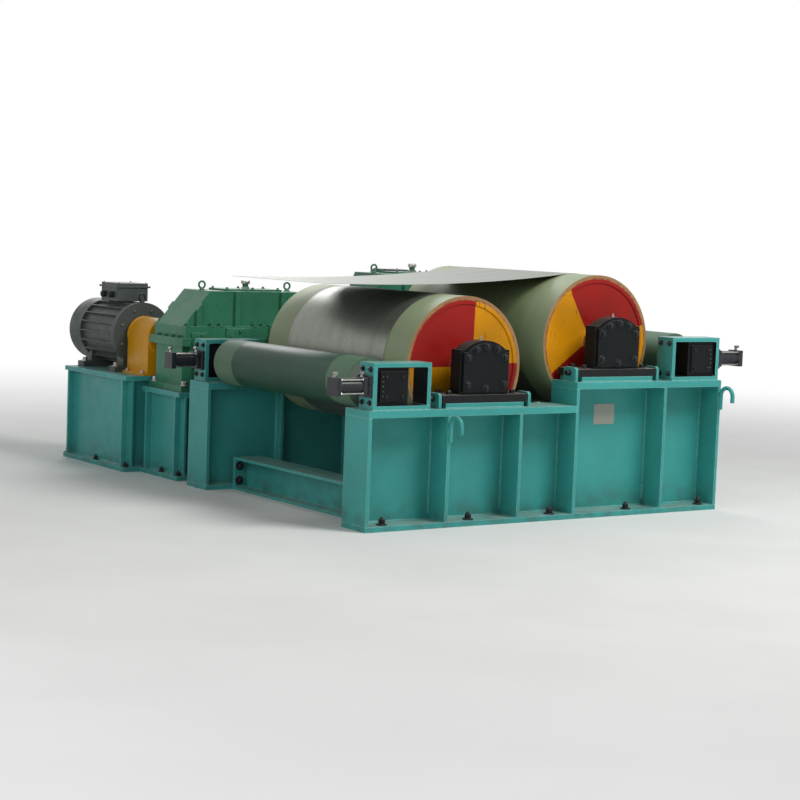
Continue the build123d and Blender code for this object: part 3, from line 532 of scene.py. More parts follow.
def roll_rubber(name, light, dark, margin, margin_share, shine, end=None):
    """Ground rubber, paler beside the strip, with bare canvas ends where given."""
    s = Shader(name)
    x, y, z = s.parts()
    rings = s.noise(1.0, 3.0, (2, 140, 2))
    colour = s.blend(s.spread(rings, 0.25, 0.75, 0.3, 0.7), linear(dark), linear(light))
    cloud = s.spread(s.noise(3.0, 5.0), 0.35, 0.70, 0.0, 0.6)
    colour = s.blend(cloud, colour, linear(dark))
    edge = s.maths("ADD", s.maths("ABSOLUTE", y), s.times(s.noise(8.0), 0.02))
    outside = s.spread(edge, 0.525, 0.545)
    colour = s.blend(s.times(outside, margin_share), colour, linear(margin))
    if end:
        face = s.spread(s.maths("ABSOLUTE", y), end - 0.0008, end - 0.0003)
        colour = s.blend(face, colour, s.blend(cloud, linear("A98258"), linear("8C6444")))
    s.set(Base_Color=colour, Specular_IOR_Level=shine)
    s.set(Roughness=s.spread(outside, 0.0, 1.0, 0.36, 0.50))
    s.bump(rings, 0.0004, 0.15)
    return s.material


def strip_zinc():
    """Galvanised strip with faint spangle, rolling streaks and a soft gloss."""
    s = Shader("strip_zinc")
    cells = s.node("TexVoronoi", {"Vector": s.place.outputs["Object"], "Scale": 45.0}).outputs["Color"]
    grey = s.node("SeparateColor", {0: cells}).outputs[0]
    colour = s.blend(s.spread(grey, 0.0, 1.0), linear("868A81"), linear("8C9087"))
    streak = s.noise(9.0, 3.0, (0.02, 1, 0.02))
    colour = s.blend(s.spread(streak, 0.35, 0.75, 0.0, 0.5), colour, linear("797D74"))
    s.set(Base_Color=colour, Metallic=0.7, Specular_IOR_Level=0.3)
    s.set(Roughness=s.spread(streak, 0.3, 0.7, 0.33, 0.40))
    return s.material


def glass():
    s = Shader("sight_glass")
    oil = s.blend(s.spread(s.noise(90.0), 0.3, 0.7), linear("C79A3A"), linear("8F6A1E"))
    s.set(Base_Color=oil, Roughness=0.08, Coat_Weight=1.0)
    return s.material


# Teal paint. Its pale rubbed edges are partly wear and partly a painted highlight of the lit plate edges.
TEAL_PAINT = dict(code="419E99", roughness=0.34, mottle=0.10, dust=0.45, grime=0.45,
                  edge_wear_and_highlight="9AD0CA", edge_amount=0.8, edge_reach=0.008)
TEAL = painted("machine_teal", **TEAL_PAINT)
GUIDE_TEAL = painted("guide_teal", **TEAL_PAINT, inside=in_guides)
GREEN = painted("reducer_green", "35775A", 0.30, 0.14, dust=0.25, edge_wear_and_highlight="79A88F", edge_amount=0.4, cast=0.5)
GREY = painted("motor_grey", "4A504F", 0.42, 0.10, dust=0.30, edge_wear_and_highlight="7D827F", edge_amount=0.4, cast=0.3)
BLACK = painted("bearing_black", "15181A", 0.40, 0.18, dust=0.14, edge_wear_and_highlight="4A4D4B", cast=0.2, shine=0.12)
# The soles' pale top faces and edges are partly dust and wear and partly a painted highlight along the top
# edge.
SOLE_BLACK = painted("sole_black", "15181A", 0.36, 0.18, dust=0.55, edge_wear_and_highlight="8C8F8C", edge_amount=0.75, shine=0.2)
YELLOW = painted("guard_yellow", "D9980F", 0.36, 0.08, dust=0.20, edge_wear_and_highlight="8A6A2A")
DARK_CYLINDER = painted("cylinder_black", "2B2F33", 0.28, 0.12, dust=0.15, edge_wear_and_highlight="8A8E90")
SHAFT = bare_metal("shaft_steel", "A9AAA5", 0.28, stretch=(0.12, 12, 0.12), tone=0.08)
SHELL = painted("shell_steel", "7A7F7A", 0.45, 0.15, edge_wear_and_highlight="B0A890")
COUPLING = bare_metal("coupling_grey", "7D8284", 0.36, stretch=(0.12, 10, 0.12), tone=0.09, edge=0.002)
PLATED = bare_metal("screw_steel", "A8A9A2", 0.30)
DULL_STEEL = bare_metal("dull_steel", "4E514F", 0.42)
BLACK_BOLT = painted("black_bolt", "202326", 0.38, 0.20, dust=0.15, edge_wear_and_highlight="6A6C69", edge_amount=0.6,
                     edge=0.0, shine=0.2)
BARE_PLATE = painted("bare_plate", "A8A99E", 0.40, 0.08, edge=0.0)
DRUM_RUBBER = roll_rubber("roll_rubber", "A1AE84", "85936D", margin="B4BBA8", margin_share=0.22,
                          shine=0.35, end=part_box("drum_1_cover")[1].y)
# The snubber rubber is darker than the drum rubber: the darkness of its body is painted shade; its paler
# ends beside the strip are the rubber's own.
SHADED_SNUB_RUBBER = roll_rubber("snubber_rubber_shaded", "385C49", "274534", margin="829D85", margin_share=0.45,
                          shine=0.15)
ZINC = strip_zinc()
# Near-black paint for the discs under the fan grilles: painted shade for the dark inside of the cowl
# openings
OPENING_SHADE = painted("fan_opening", "0E0F10", 0.7, 0.2, edge=0.0, shine=0.1)
GLASS = glass()
DISC_PAINT = {drum: sector_paint(f"{drum}_end_paint", drum) for drum in SECTORS}

# The finish of each slot of the record, and of the nodes that differ from theirs
SLOT_FINISHES = {
    "machine_teal": TEAL, "reducer_green": GREEN, "motor_grey": GREY, "bearing_black": BLACK,
    "roll_rubber": DRUM_RUBBER, "shell_steel": SHELL, "shaft_steel": SHAFT, "screw_steel": BLACK_BOLT,
    "cylinder_black": DARK_CYLINDER, "coupling_grey": COUPLING, "guard_yellow": YELLOW,
    "strip_zinc": ZINC,
}
NODE_FINISHES = {
    "snubber_rails": GUIDE_TEAL, "snubber_posts": GUIDE_TEAL, "bearing_soles": SOLE_BLACK,
    "left_snubber_sleeve": SHADED_SNUB_RUBBER, "right_snubber_sleeve": SHADED_SNUB_RUBBER,
    "drum_1_end_discs": DISC_PAINT["drum_1"], "drum_1_shell": DISC_PAINT["drum_1"],
    "drum_2_end_discs": DISC_PAINT["drum_2"], "drum_2_shell": DISC_PAINT["drum_2"],
}


def dress_nodes():
    for row in frame["record"]["subparts"]:
        finish = NODE_FINISHES.get(row["node"]) or SLOT_FINISHES[row["material_slot"]]
        frame["nodes"][row["node"]].material_slots[0].material = finish


# Short calls for the commonest pieces

def black_bolts(name, shape, body="frame"):
    piece(name, shape, BLACK_BOLT, body)


def plated(name, shape, smooth=32):
    piece(name, shape, PLATED, smooth=smooth)


def teal_welds(name, shape):
    return piece(name, shape, TEAL, smooth=50)


# Side frames

def foundation_bolts():
    """A nut on a bolt in each anchor hole of the record's bolt patterns."""
    shape = Shape()
    for mount in frame["record"]["mounts"]:
        if mount["kind"] != "bolt_pattern":
            continue
        x, y, z = mount["pos_m"]
        reach_x = mount["dims"].get("spacing_x_mm", 0.0) / 2000
        reach_y = mount["dims"]["spacing_y_mm"] / 2000
        for dx, dy in product(sorted({-reach_x, reach_x}), (-reach_y, reach_y)):
            stud_nut(shape, (x + dx, y + dy, FLOOR_PLATE), UP, 0.032, 0.014)
    black_bolts("foundation_bolts", shape)


# Each web's ends and each rib's middle along X, with the underside of the deck over it
STEP = high_axis.x - STEP_FROM_HIGH_AXIS
UNDER_LOW, UNDER_HIGH = low_deck - DECK_PLATE, high_deck - DECK_PLATE
WEBS = ((beam_low.x + RIB_PLATE, STEP, UNDER_LOW), (STEP + RIB_PLATE, beam_high.x - RIB_PLATE, UNDER_HIGH))
RIBS = [(low_axis.x + offset, UNDER_LOW) for offset in RIBS_FROM_LOW_AXIS]
RIBS.append((high_axis.x + RIB_FROM_HIGH_AXIS, UNDER_HIGH))


def web_welds(side, shape):
    """Welds on both faces of one beam's webs."""
    for (x0, x1, top), out in product(WEBS, (side, -side)):
        y = side * web_high.y if out == side else side * (web_high.y - WEB_PLATE)
        away = (0, out, 0)
        bead(shape, (x0, y, FLOOR_PLATE), (x1, y, FLOOR_PLATE), away, UP)
        bead(shape, (x0, y, top), (x1, y, top), away, DOWN)
        bead(shape, (x0, y, FLOOR_PLATE), (x0, y, top), away, (1, 0, 0))
        bead(shape, (x1, y, FLOOR_PLATE), (x1, y, top), away, (-1, 0, 0))


def rib_welds(side, shape):
    """Welds of one beam's ribs, which stop at the snipped corners."""
    faces = ((side * web_high.y, side * beam_high.y, side),
             (side * (web_high.y - WEB_PLATE), side * BEAM_INNER, -side))
    low = FLOOR_PLATE + RIB_SNIPE
    for (x, top), way, (y, free, out) in product(RIBS, BOTH, faces):
        rib_x, away = x + way * RIB_PLATE / 2, (way, 0, 0)
        near, far = y + out * RIB_SNIPE, free - out * 0.002
        bead(shape, (rib_x, y, low), (rib_x, y, top - RIB_SNIPE), away, (0, out, 0))
        bead(shape, (rib_x, near, FLOOR_PLATE), (rib_x, far, FLOOR_PLATE), away, UP)
        bead(shape, (rib_x, near, top), (rib_x, far, top), away, DOWN)


def deck_welds(side, shape):
    """Welds of the bearing pads and keeper plates on the deck."""
    pad_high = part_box("bearing_pads")[1]
    pad_half = pad_high.x - high_axis.x
    edge = side * pad_high.y
    for drum, axis in AXES.items():
        z = DECKS[drum]
        bead(shape, (axis.x - pad_half, edge, z), (axis.x + pad_half, edge, z), (0, side, 0), UP, 0.007)
        for (reach, depth), out in product(((pad_half, PAD_DEPTH), (KEEPER_FROM_AXIS, KEEPER_DEPTH)), BOTH):
            x = axis.x + out * reach
            bead(shape, (x, edge, z), (x, edge - side * depth, z), (out, 0, 0), UP, 0.006)


def all_frame_welds():
    shape = Shape()
    for side in BOTH:
        web_welds(side, shape)
        rib_welds(side, shape)
    for side in BOTH:
        deck_welds(side, shape)
    teal_welds("frame_welds", shape)


HOOK_BAR, HOOK_BEND, HOOK_SHANK = 0.013, 0.050, 0.086
HOOK_DROP, HOOK_BELOW_DECK = 0.037, 0.030


def hook_bar(shape, x, deck, side):
    """A smooth bent bar in the place of one CAD hook, with its two welds."""
    shank_y = beam_high.y + HOOK_BAR
    bend_z = deck - HOOK_BELOW_DECK - HOOK_BAR - HOOK_BEND
    foot_z = bend_z - HOOK_SHANK
    path = [(x, side * shank_y, foot_z), (x, side * shank_y, bend_z - HOOK_SHANK / 2)]
    for i in range(17):
        turn = math.pi * i / 16
        y = side * (shank_y + HOOK_BEND - HOOK_BEND * math.cos(turn))
        path.append((x, y, bend_z + HOOK_BEND * math.sin(turn)))
    path.append((x, side * (shank_y + 2 * HOOK_BEND), bend_z - HOOK_DROP))
    tube(shape, path, HOOK_BAR - 0.0004, 16)
    weld_y = side * (beam_high.y + 0.001)
    for way in BOTH:
        weld_x = x + way * 0.006
        bead(shape, (weld_x, weld_y, foot_z), (weld_x, weld_y, bend_z - 0.006),
             (way, 0, 0), (0, side, 0), 0.009)


def lifting_hook_bars():
    shape = Shape()
    for side in BOTH:
        hook_bar(shape, low_axis.x + RIBS_FROM_LOW_AXIS[0], low_deck, side)
        hook_bar(shape, beam_high.x - RIB_PLATE / 2, high_deck, side)
    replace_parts(teal_welds("lifting_hook_bars", shape), "lifting_hooks")


NAME_PLATE_X = (0.418, 0.577)
NAME_PLATE_Z = (0.530, 0.651)
RIVET_INSET = 0.008


def bare_name_plate():
    """A blank plate with four rivets on the web's outer face."""
    (x0, x1), (z0, z1), face = NAME_PLATE_X, NAME_PLATE_Z, web_low.y
    shape, rivets = Shape(), Shape()
    plate(shape, (x0, face - 0.002, z0), (x1, face + 0.0005, z1), 0.0008)
    piece("bare_name_plate", shape, BARE_PLATE)
    for x, z in product((x0 + RIVET_INSET, x1 - RIVET_INSET), (z0 + RIVET_INSET, z1 - RIVET_INSET)):
        profile = [(0.0035, 0), (0.0030, 0.0012), (0.0015, 0.002)]
        lathe(rivets, (x, face - 0.0018, z), (0, -1, 0), profile, 12)
    plated("name_plate_rivets", rivets, smooth=60)


TIE_PLACES = (-1.0, 0.0, 1.0)
TIE_END_PLATE = 0.020
TIE_BOLT_X = (-0.065, 0.065)
TIE_BOLT_Z = (0.055, 0.145)
TIE_WELDS = ((0.015, 1), (0.185, -1))


def cross_tie_bolts():
    """Bolts of the ties' end plates, and the welds of their flanges."""
    shape, welds = Shape(), Shape()
    for x, side in product(TIE_PLACES, BOTH):
        y, inward = side * (BEAM_INNER - TIE_END_PLATE), (0, -side, 0)
        for dx, z in product(TIE_BOLT_X, TIE_BOLT_Z):
            bolt(shape, (x + dx, y, z), inward, 0.030)
        for (z, way), dx in product(TIE_WELDS, BOTH):
            bead(welds, (x + dx * 0.005, y, z), (x + dx * 0.100, y, z), inward, (0, 0, way), 0.006)
    black_bolts("tie_bolts", shape)
    teal_welds("tie_welds", welds)


# Bearings

COVER_BOLTS = ((-0.128, -0.085), (0.128, -0.085), (-0.128, 0.066), (0.128, 0.066),
               (-0.072, 0.112), (0.072, 0.112), (0.0, 0.126), (0.0, -0.108))
SOLE_BOLT_X = (-0.222, 0.222)
SOLE_BOLT_Y = (0.812, 0.915)
GREASE_NIPPLE = ((0.009, 0), (0.009, 0.008), (0.005, 0.010), (0.004, 0.016), (0.006, 0.018), (0.005, 0.022))


def bearing_bolts():
    cover_face = -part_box("bearing_covers")[0].y
    housing_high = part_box("bearing_housings")[1]
    crown = housing_high.z - high_axis.z
    covers, soles, nipples = Shape(), Shape(), Shape()
    for (drum, axis), side in product(AXES.items(), BOTH):
        for dx, dz in COVER_BOLTS:
            bolt(covers, (axis.x + dx, side * cover_face, axis.z + dz), (0, side, 0), 0.024)
        for dx, y in product(SOLE_BOLT_X, SOLE_BOLT_Y):
            bolt(soles, (axis.x + dx, side * y, DECKS[drum] + PAD_PLATE + SOLE_PLATE), UP, 0.027)
        top = (axis.x, side * (housing_high.y - 0.05), axis.z + crown - 0.001)
        lathe(nipples, top, UP, GREASE_NIPPLE, 12)
    black_bolts("bearing_cover_bolts", covers)
    black_bolts("bearing_sole_bolts", soles)
    plated("grease_nipples", nipples)


def jacking_nuts():
    keeper_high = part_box("keeper_plates")[1]
    reach = keeper_high.x - high_axis.x - 0.0005
    corner = 0.030 / math.sqrt(3)
    profile = [(0.9 * corner, 0), (corner, 0.001), (corner, 0.010), (0.9 * corner, 0.0112)]
    shape = Shape()
    for (drum, axis), side, end in product(AXES.items(), BOTH, BOTH):
        y, z = side * (keeper_high.y - KEEPER_DEPTH / 2), DECKS[drum] + PAD_PLATE + SOLE_PLATE / 2
        lathe(shape, (axis.x + end * reach, y, z), (end, 0, 0), profile, 6, turn=chance.uniform(0, 1))
    black_bolts("jacking_lock_nuts", shape)


# Drums

# Radius, thickness and sides of each weld ring
DRUM_WELDS = ((0.354, 0.004, 180), (0.097, 0.009, 72))
ROLL_WELDS = ((0.042, 0.006, 40),)
COUPLING_MIDDLE = 0.095
COUPLING_HALF_FLANGE = 0.018
COUPLING_CIRCLE = 0.147


def end_welds(name, axis, node, rings, material, body):
    """Weld rings round the axis, on both ends of a drum's or a snubber roll's node."""
    shape = Shape()
    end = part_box(node)[1].y
    for side, (radius, thick, sides) in product(BOTH, rings):
        ring_tube(shape, (axis.x, side * end, axis.z), radius, thick, sides, 6, 0.10)
    piece(f"{name}_end_welds", shape, material, body, smooth=50)


def coupling_bolts(drum, axis):
    shape = Shape()
    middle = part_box(f"{drum}_coupling")[0].y + COUPLING_MIDDLE
    half = Vector((0, COUPLING_HALF_FLANGE, 0))
    for place in bolt_circle(axis.x, middle, axis.z, COUPLING_CIRCLE, 12):
        bolt(shape, place - half, (0, -1, 0), 0.018, False)
        stud_nut(shape, place + half, ALONG, 0.016, 0.004)
    black_bolts(f"{drum}_coupling_bolts", shape, drum)


# Snubber rolls

STUD_X = 0.068
STUD_PITCH = 0.026
CHOCK_BOLT_X = (-0.060, 0.046)
CHOCK_BOLT_Z = (-0.054, 0.054)


def chock_fasteners(name, way):
    """Five studs and four bolts on the cover of each chock."""
    low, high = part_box(f"{name}_chocks")
    middle = (low + high) / 2
    studs, bolts = Shape(), Shape()
    profile = [(0.0065, 0), (0.0065, 0.004), (0.004, 0.0062)]
    for side in BOTH:
        y, out = side * high.y, (0, side, 0)
        for i in range(-2, 3):
            place = (middle.x + way * STUD_X, y - side * 0.0005, middle.z + STUD_PITCH * i)
            lathe(studs, place, out, profile, 12)
        for dx, dz in product(CHOCK_BOLT_X, CHOCK_BOLT_Z):
            bolt(bolts, (middle.x + way * dx, y, middle.z + dz), out, 0.013, False)
    piece(f"{name}_studs", studs, DULL_STEEL, f"{name}_slide", smooth=50)
    black_bolts(f"{name}_chock_bolts", bolts, f"{name}_slide")


def bracket_welds():
    """Welds of the chock guides on the deck and in their corners."""
    shape = Shape()
    for (drum, deck), side in product(DECKS.items(), BOTH):
        x0, x1 = sorted(guide_ends(drum))
        outer, inner = side * rails_high.y, side * (rails_high.y - GUIDE_DEPTH)
        bead(shape, (x0, outer, deck), (x1, outer, deck), (0, side, 0), UP, 0.007)
        ends = ((x0 + GUIDE_PLATE, 1), (x1 - GUIDE_PLATE, -1))
        heights = ((deck + GUIDE_PLATE, 1), (deck + GUIDE_HEIGHT - GUIDE_PLATE, -1))
        for (x, way), (z, up) in product(ends, heights):
            start, end = (x, outer - side * 0.004, z), (x, inner + side * 0.004, z)
            bead(shape, start, end, (way, 0, 0), (0, 0, up), 0.0045)
        for x, way in ((x0, -1), (x1, 1)):
            z = deck + 0.001
            bead(shape, (x, outer, z), (x, inner, z), (way, 0, 0), UP, 0.006)
    teal_welds("bracket_welds", shape)


GUIDE_BOLT_Y = (0.030, 0.105)
GUIDE_BOLT_Z = (0.040, GUIDE_HEIGHT - 0.036)


def guide_bolts():
    """Bolts through the ends of the chock guides."""
    shape = Shape()
    for drum, deck in DECKS.items():
        outer, inner = guide_ends(drum)
        ends = ((outer, SIDES[drum]), (inner, -SIDES[drum]))
        for (x, way), side, y, z in product(ends, BOTH, GUIDE_BOLT_Y, GUIDE_BOLT_Z):
            bolt(shape, (x, side * (rails_high.y - y), deck + z), (way, 0, 0), 0.018)
    black_bolts("guide_bolts", shape)


CYLINDER_FLANGE = 0.016
CYLINDER_HEAD = 0.030
CYLINDER_TOP = 0.049
TIE_ROD_REACH = 0.037
TIE_ROD_NUT = ((0.0092, -0.0004), (0.0092, 0.006), (0.0084, 0.007))
FLANGE_SCREW_REACH = 0.0525
ROD_RADIUS = 0.0125


def tie_rods(shape, head, cap, way, y, z):
    """Four tie rods with nuts between a cylinder's head and cap."""
    for dy, dz in product(BOTH, BOTH):
        rod_y, rod_z = y + dy * TIE_ROD_REACH, z + dz * TIE_ROD_REACH
        tube(shape, [(head - way * 0.004, rod_y, rod_z), (cap + way * 0.004, rod_y, rod_z)], 0.005, 10)
        for x, out in ((head, way), (cap, -way)):
            lathe(shape, (x, rod_y, rod_z), (out, 0, 0), TIE_ROD_NUT, 6)


def air_fitting(shape, x, y, z, side):
    """A hexagon, a stem and an elbow that opens to the machine's side."""
    z = z + CYLINDER_TOP
    lathe(shape, (x, y, z), UP, [(0.010, -0.0005), (0.010, 0.007), (0.009, 0.008)], 6)
    lathe(shape, (x, y, z), UP, [(0.0075, 0.008), (0.0075, 0.024)], 14)
    elbow = [(0.008, 0), (0.008, 0.020), (0.0095, 0.022), (0.0095, 0.027), (0.005, 0.0275), (0.005, 0.022)]
    lathe(shape, (x, y - side * 0.008, z + 0.022), (0, side, 0), elbow, 14)


def cylinder_fittings():
    rods, screws, fittings = Shape(), Shape(), Shape()
    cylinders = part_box("air_cylinders")
    for (drum, name), side in product(SNUBBERS.items(), BOTH):
        way = SIDES[drum]
        rod_low, rod_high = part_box(f"{name}_rods")
        y, z = side * (rod_high.y - ROD_RADIUS), (rod_low.z + rod_high.z) / 2
        flange = guide_ends(drum)[0] + way * CYLINDER_FLANGE
        head = flange + way * CYLINDER_HEAD
        end = cylinders[1].x if way > 0 else cylinders[0].x
        cap = end - way * CYLINDER_HEAD
        tie_rods(rods, head, cap, way, y, z)
        for dy, dz in product(BOTH, BOTH):
            place = (flange, y + dy * FLANGE_SCREW_REACH, z + dz * FLANGE_SCREW_REACH)
            socket_screw(screws, place, (way, 0, 0), 0.0058)
        for x in ((flange + head) / 2, (cap + end) / 2):
            air_fitting(fittings, x, y, z, side)
    plated("cylinder_tie_rods", rods)
    black_bolts("cylinder_flange_screws", screws)
    plated("cylinder_air_fittings", fittings)


# Reducers. Places along X are offsets from the drum's axis, heights are over it.

REDUCER_NEAR_Y, REDUCER_MIDDLE_Y, REDUCER_FAR_Y = 1.215, 1.435, 1.655
REDUCER_WALL_Y = 1.610
REDUCER_FOOT, REDUCER_JOINT, REDUCER_LEDGE, REDUCER_ROOF = -0.275, 0.026, 0.100, 0.325
LEDGE_NUT_X = (-0.245, -0.150, 0.150, 0.215, 0.462, 0.528, 0.700)
FOOT_BOLT_X = (-0.220, 0.190, 0.500, 0.715)
END_BOLT_X = (-0.287, 0.737)
END_BOLT_Y = (1.300, 1.390, 1.480, 1.570)
SHAFT_OFFSETS = (0.0, 0.340, 0.620)
CAP_RADII = (0.112, 0.090, 0.060)
CAP_PROUD = 0.016
LID_MIDDLE, LID_PLATE = 0.1775, 0.012
LID_BOLT_X = (-0.190, 0.0, 0.190)
LID_BOLT_Y = (-0.094, 0.094)
EYE_X = (-0.140, 0.500)
EYE_COLLAR = ((0.020, -0.001), (0.020, 0.005), (0.009, 0.011))
GLASS_AT, PLUG_AT = (0.190, -0.170), (0.240, -0.245)
GLASS_FRAME = ((0.028, -0.001), (0.028, 0.008), (0.025, 0.011), (0.018, 0.011), (0.018, 0.006))
BREATHER_HEXAGON = ((0.0265, -0.0005), (0.0265, 0.011), (0.024, 0.0125))
BREATHER_CAP = ((0.0195, 0.0320), (0.0280, 0.0330), (0.0300, 0.0350), (0.0300, 0.0400), (0.0286, 0.0410),
                (0.0286, 0.0435), (0.0300, 0.0445), (0.0300, 0.0500), (0.0275, 0.0545), (0.0190, 0.0568))


def case_bolts(drum, z, case, feet):
    """Nuts on the ledges of a reducer's case, bolts at its foot and its ends."""
    for y, offset in product((REDUCER_NEAR_Y + 0.028, REDUCER_FAR_Y - 0.028), LEDGE_NUT_X):
        stud_nut(case, (outward_x(drum, offset), y, z + REDUCER_LEDGE), UP, 0.022, 0.008)
    for y, offset in product((REDUCER_NEAR_Y + 0.0225, REDUCER_FAR_Y - 0.0225), FOOT_BOLT_X):
        bolt(feet, (outward_x(drum, offset), y, z + REDUCER_FOOT), UP, 0.034)
    for offset, y in product(END_BOLT_X, END_BOLT_Y):
        bolt(case, (outward_x(drum, offset), y, z + REDUCER_JOINT), UP, 0.018)


def cap_bolts(drum, z, shape):
    """Bolt circles on the caps of a reducer's shafts, on both faces."""
    faces = ((REDUCER_NEAR_Y - CAP_PROUD, -1), (REDUCER_FAR_Y + CAP_PROUD, 1))
    for (offset, radius), (y, way) in product(zip(SHAFT_OFFSETS, CAP_RADII), faces):
        count = 8 if radius > 0.1 else 6
        across = 0.018 if radius > 0.08 else 0.013
        for place in bolt_circle(outward_x(drum, offset), y, z, radius - 0.7 * across - 0.004, count):
            bolt(shape, place, (0, way, 0), across, False)


def lid_fittings(drum, z, bolts, breathers):
    x, y, z = outward_x(drum, LID_MIDDLE), REDUCER_MIDDLE_Y, z + REDUCER_ROOF + LID_PLATE
    for dx, dy in product(LID_BOLT_X, LID_BOLT_Y):
        bolt(bolts, (x + dx, y + dy, z), UP, 0.014)
    lathe(breathers, (x, y, z), UP, BREATHER_HEXAGON, 6)
    lathe(breathers, (x, y, z), UP, BREATHER_CAP, 32)


def glass_and_plug(drum, z, frames, glasses, plugs):
    x, y, height = outward_x(drum, GLASS_AT[0]), REDUCER_WALL_Y, z + GLASS_AT[1]
    lathe(frames, (x, y, height), ALONG, GLASS_FRAME, 24)
    lathe(glasses, (x, y, height), ALONG, [(0.0178, 0.0), (0.0178, 0.007), (0.012, 0.0085)], 20)
    x, height = outward_x(drum, PLUG_AT[0]), z + PLUG_AT[1]
    lathe(plugs, (x, y, height), ALONG, [(0.020, -0.001), (0.020, 0.004), (0.018, 0.005)], 20)
    lathe(plugs, (x, y, height), ALONG, [(0.014, 0.005), (0.014, 0.016), (0.012, 0.018)], 6)


def reducer_details():
    case, feet, eyes, glasses, plugs, breathers = (Shape() for _ in range(6))
    for drum, axis in AXES.items():
        case_bolts(drum, axis.z, case, feet)
        cap_bolts(drum, axis.z, case)
        lid_fittings(drum, axis.z, case, breathers)
        for offset in EYE_X:
            x, roof = outward_x(drum, offset), axis.z + REDUCER_ROOF
            eye_bolt(eyes, x, REDUCER_MIDDLE_Y, roof, 0.0065, EYE_COLLAR)
        glass_and_plug(drum, axis.z, eyes, glasses, plugs)
    piece("reducer_case_bolts", case, GREEN)
    plated("reducer_foot_bolts", feet)
    piece("reducer_lifting_eyes", eyes, GREEN, smooth=50)
    piece("reducer_level_glasses", glasses, GLASS)
    plated("reducer_plugs", plugs)
    plated("reducer_breather_caps", breathers)


# Motors. Heights are over the shaft, or over the crown where named so.

MOTOR_OFFSET = SHAFT_OFFSETS[-1]
MOTOR_NEAR_Y, MOTOR_MIDDLE_Y, MOTOR_FAR_Y = 2.010, 2.290, 2.570
MOTOR_FOOT, MOTOR_CROWN = -0.214, 0.212
MOTOR_FOOT_BOLT_X = (-0.170, 0.170)
MOTOR_COLLAR = ((0.018, -0.002), (0.018, 0.006), (0.008, 0.012))
BOX_SCREW_X, BOX_SCREW_Y, BOX_LID = (-0.100, 0.100), (-0.112, 0.112), 0.120
GLAND_OUT, GLAND_Y, GLAND_OVER_CROWN = 0.114, (-0.055, 0.055), 0.042
GLAND_NUT = ((0.024, 0), (0.024, 0.012), (0.022, 0.013))
GLAND_CAP = ((0.018, 0.012), (0.018, 0.016), (0.022, 0.017), (0.022, 0.029), (0.017, 0.033),
             (0.009, 0.034), (0.009, 0.030))
COWL_SCREW_CIRCLE = 0.2105
FLANGE_BOLT_CIRCLE = 0.165
GRILLE_FIRST, GRILLE_PITCH, GRILLE_WIRE = 0.024, 0.016, 0.0022
BLANK_PLATE_Y = MOTOR_MIDDLE_Y + 0.130


def motor_feet_and_eyes(x, z, feet, eyes):
    for dx, y in product(MOTOR_FOOT_BOLT_X, (MOTOR_NEAR_Y + 0.045, MOTOR_FAR_Y - 0.045)):
        bolt(feet, (x + dx, y, z + MOTOR_FOOT), UP, 0.030)
    for y in (MOTOR_NEAR_Y + 0.022, MOTOR_FAR_Y - 0.022):
        eye_bolt(eyes, x, y, z + MOTOR_CROWN, 0.006, MOTOR_COLLAR)


def box_screws_and_glands(x, crown, side, screws, glands):
    for dx, dy in product(BOX_SCREW_X, BOX_SCREW_Y):
        socket_screw(screws, (x + dx, MOTOR_MIDDLE_Y + dy, crown + BOX_LID), UP, 0.0055)
    for dy in GLAND_Y:
        start = (x + side * GLAND_OUT, MOTOR_MIDDLE_Y + dy, crown + GLAND_OVER_CROWN)
        lathe(glands, start, (side, 0, 0), GLAND_NUT, 6)
        lathe(glands, start, (side, 0, 0), GLAND_CAP, 20)


def motor_end_screws(x, z, screws):
    for place in bolt_circle(x, MOTOR_FAR_Y + 0.030, z, COWL_SCREW_CIRCLE, 4):
        socket_screw(screws, place, (place.x - x, 0, place.z - z), 0.0055)
    for place in bolt_circle(x, MOTOR_NEAR_Y, z, FLANGE_BOLT_CIRCLE, 8):
        bolt(screws, place, (0, -1, 0), 0.016, False)


def fan_grille(x, z, grilles, shade_discs):
    """A wire grille over one fan cowl, and under it a near-black disc that is painted shade for the cowl's
    opening.
    """
    cowl_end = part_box("motors")[1].y
    y = cowl_end - 0.0035
    for i in range(8):
        ring_tube(grilles, (x, y, z), GRILLE_FIRST + GRILLE_PITCH * i, GRILLE_WIRE, 64, 6)
    hub = Vector((x, y - 0.0030, z))
    for spoke in circle(Vector(), Vector((1, 0, 0)), Vector(UP), 1.0, 8):
        tube(grilles, [hub + spoke * 0.015, hub + spoke * 0.139], GRILLE_WIRE, 6)
    lathe(grilles, (x, cowl_end - 0.0085, z), ALONG, [(0.018, 0), (0.018, 0.0065), (0.015, 0.008)], 24)
    # A near-black disc: painted shade for the dark inside of the cowl's opening
    lathe(shade_discs, (x, cowl_end - 0.0090, z), ALONG, [(0.138, 0), (0.138, 0.0015)], 64)


def blank_plate(x, crown, plates, screws):
    y = BLANK_PLATE_Y
    plate(plates, (x - 0.050, y - 0.001, crown + 0.025), (x + 0.050, y + 0.0015, crown + 0.085), 0.0005)
    for dx, dz in product((-0.044, 0.044), (0.031, 0.079)):
        lathe(screws, (x + dx, y + 0.001, crown + dz), ALONG, [(0.003, 0), (0.002, 0.0022)], 10)


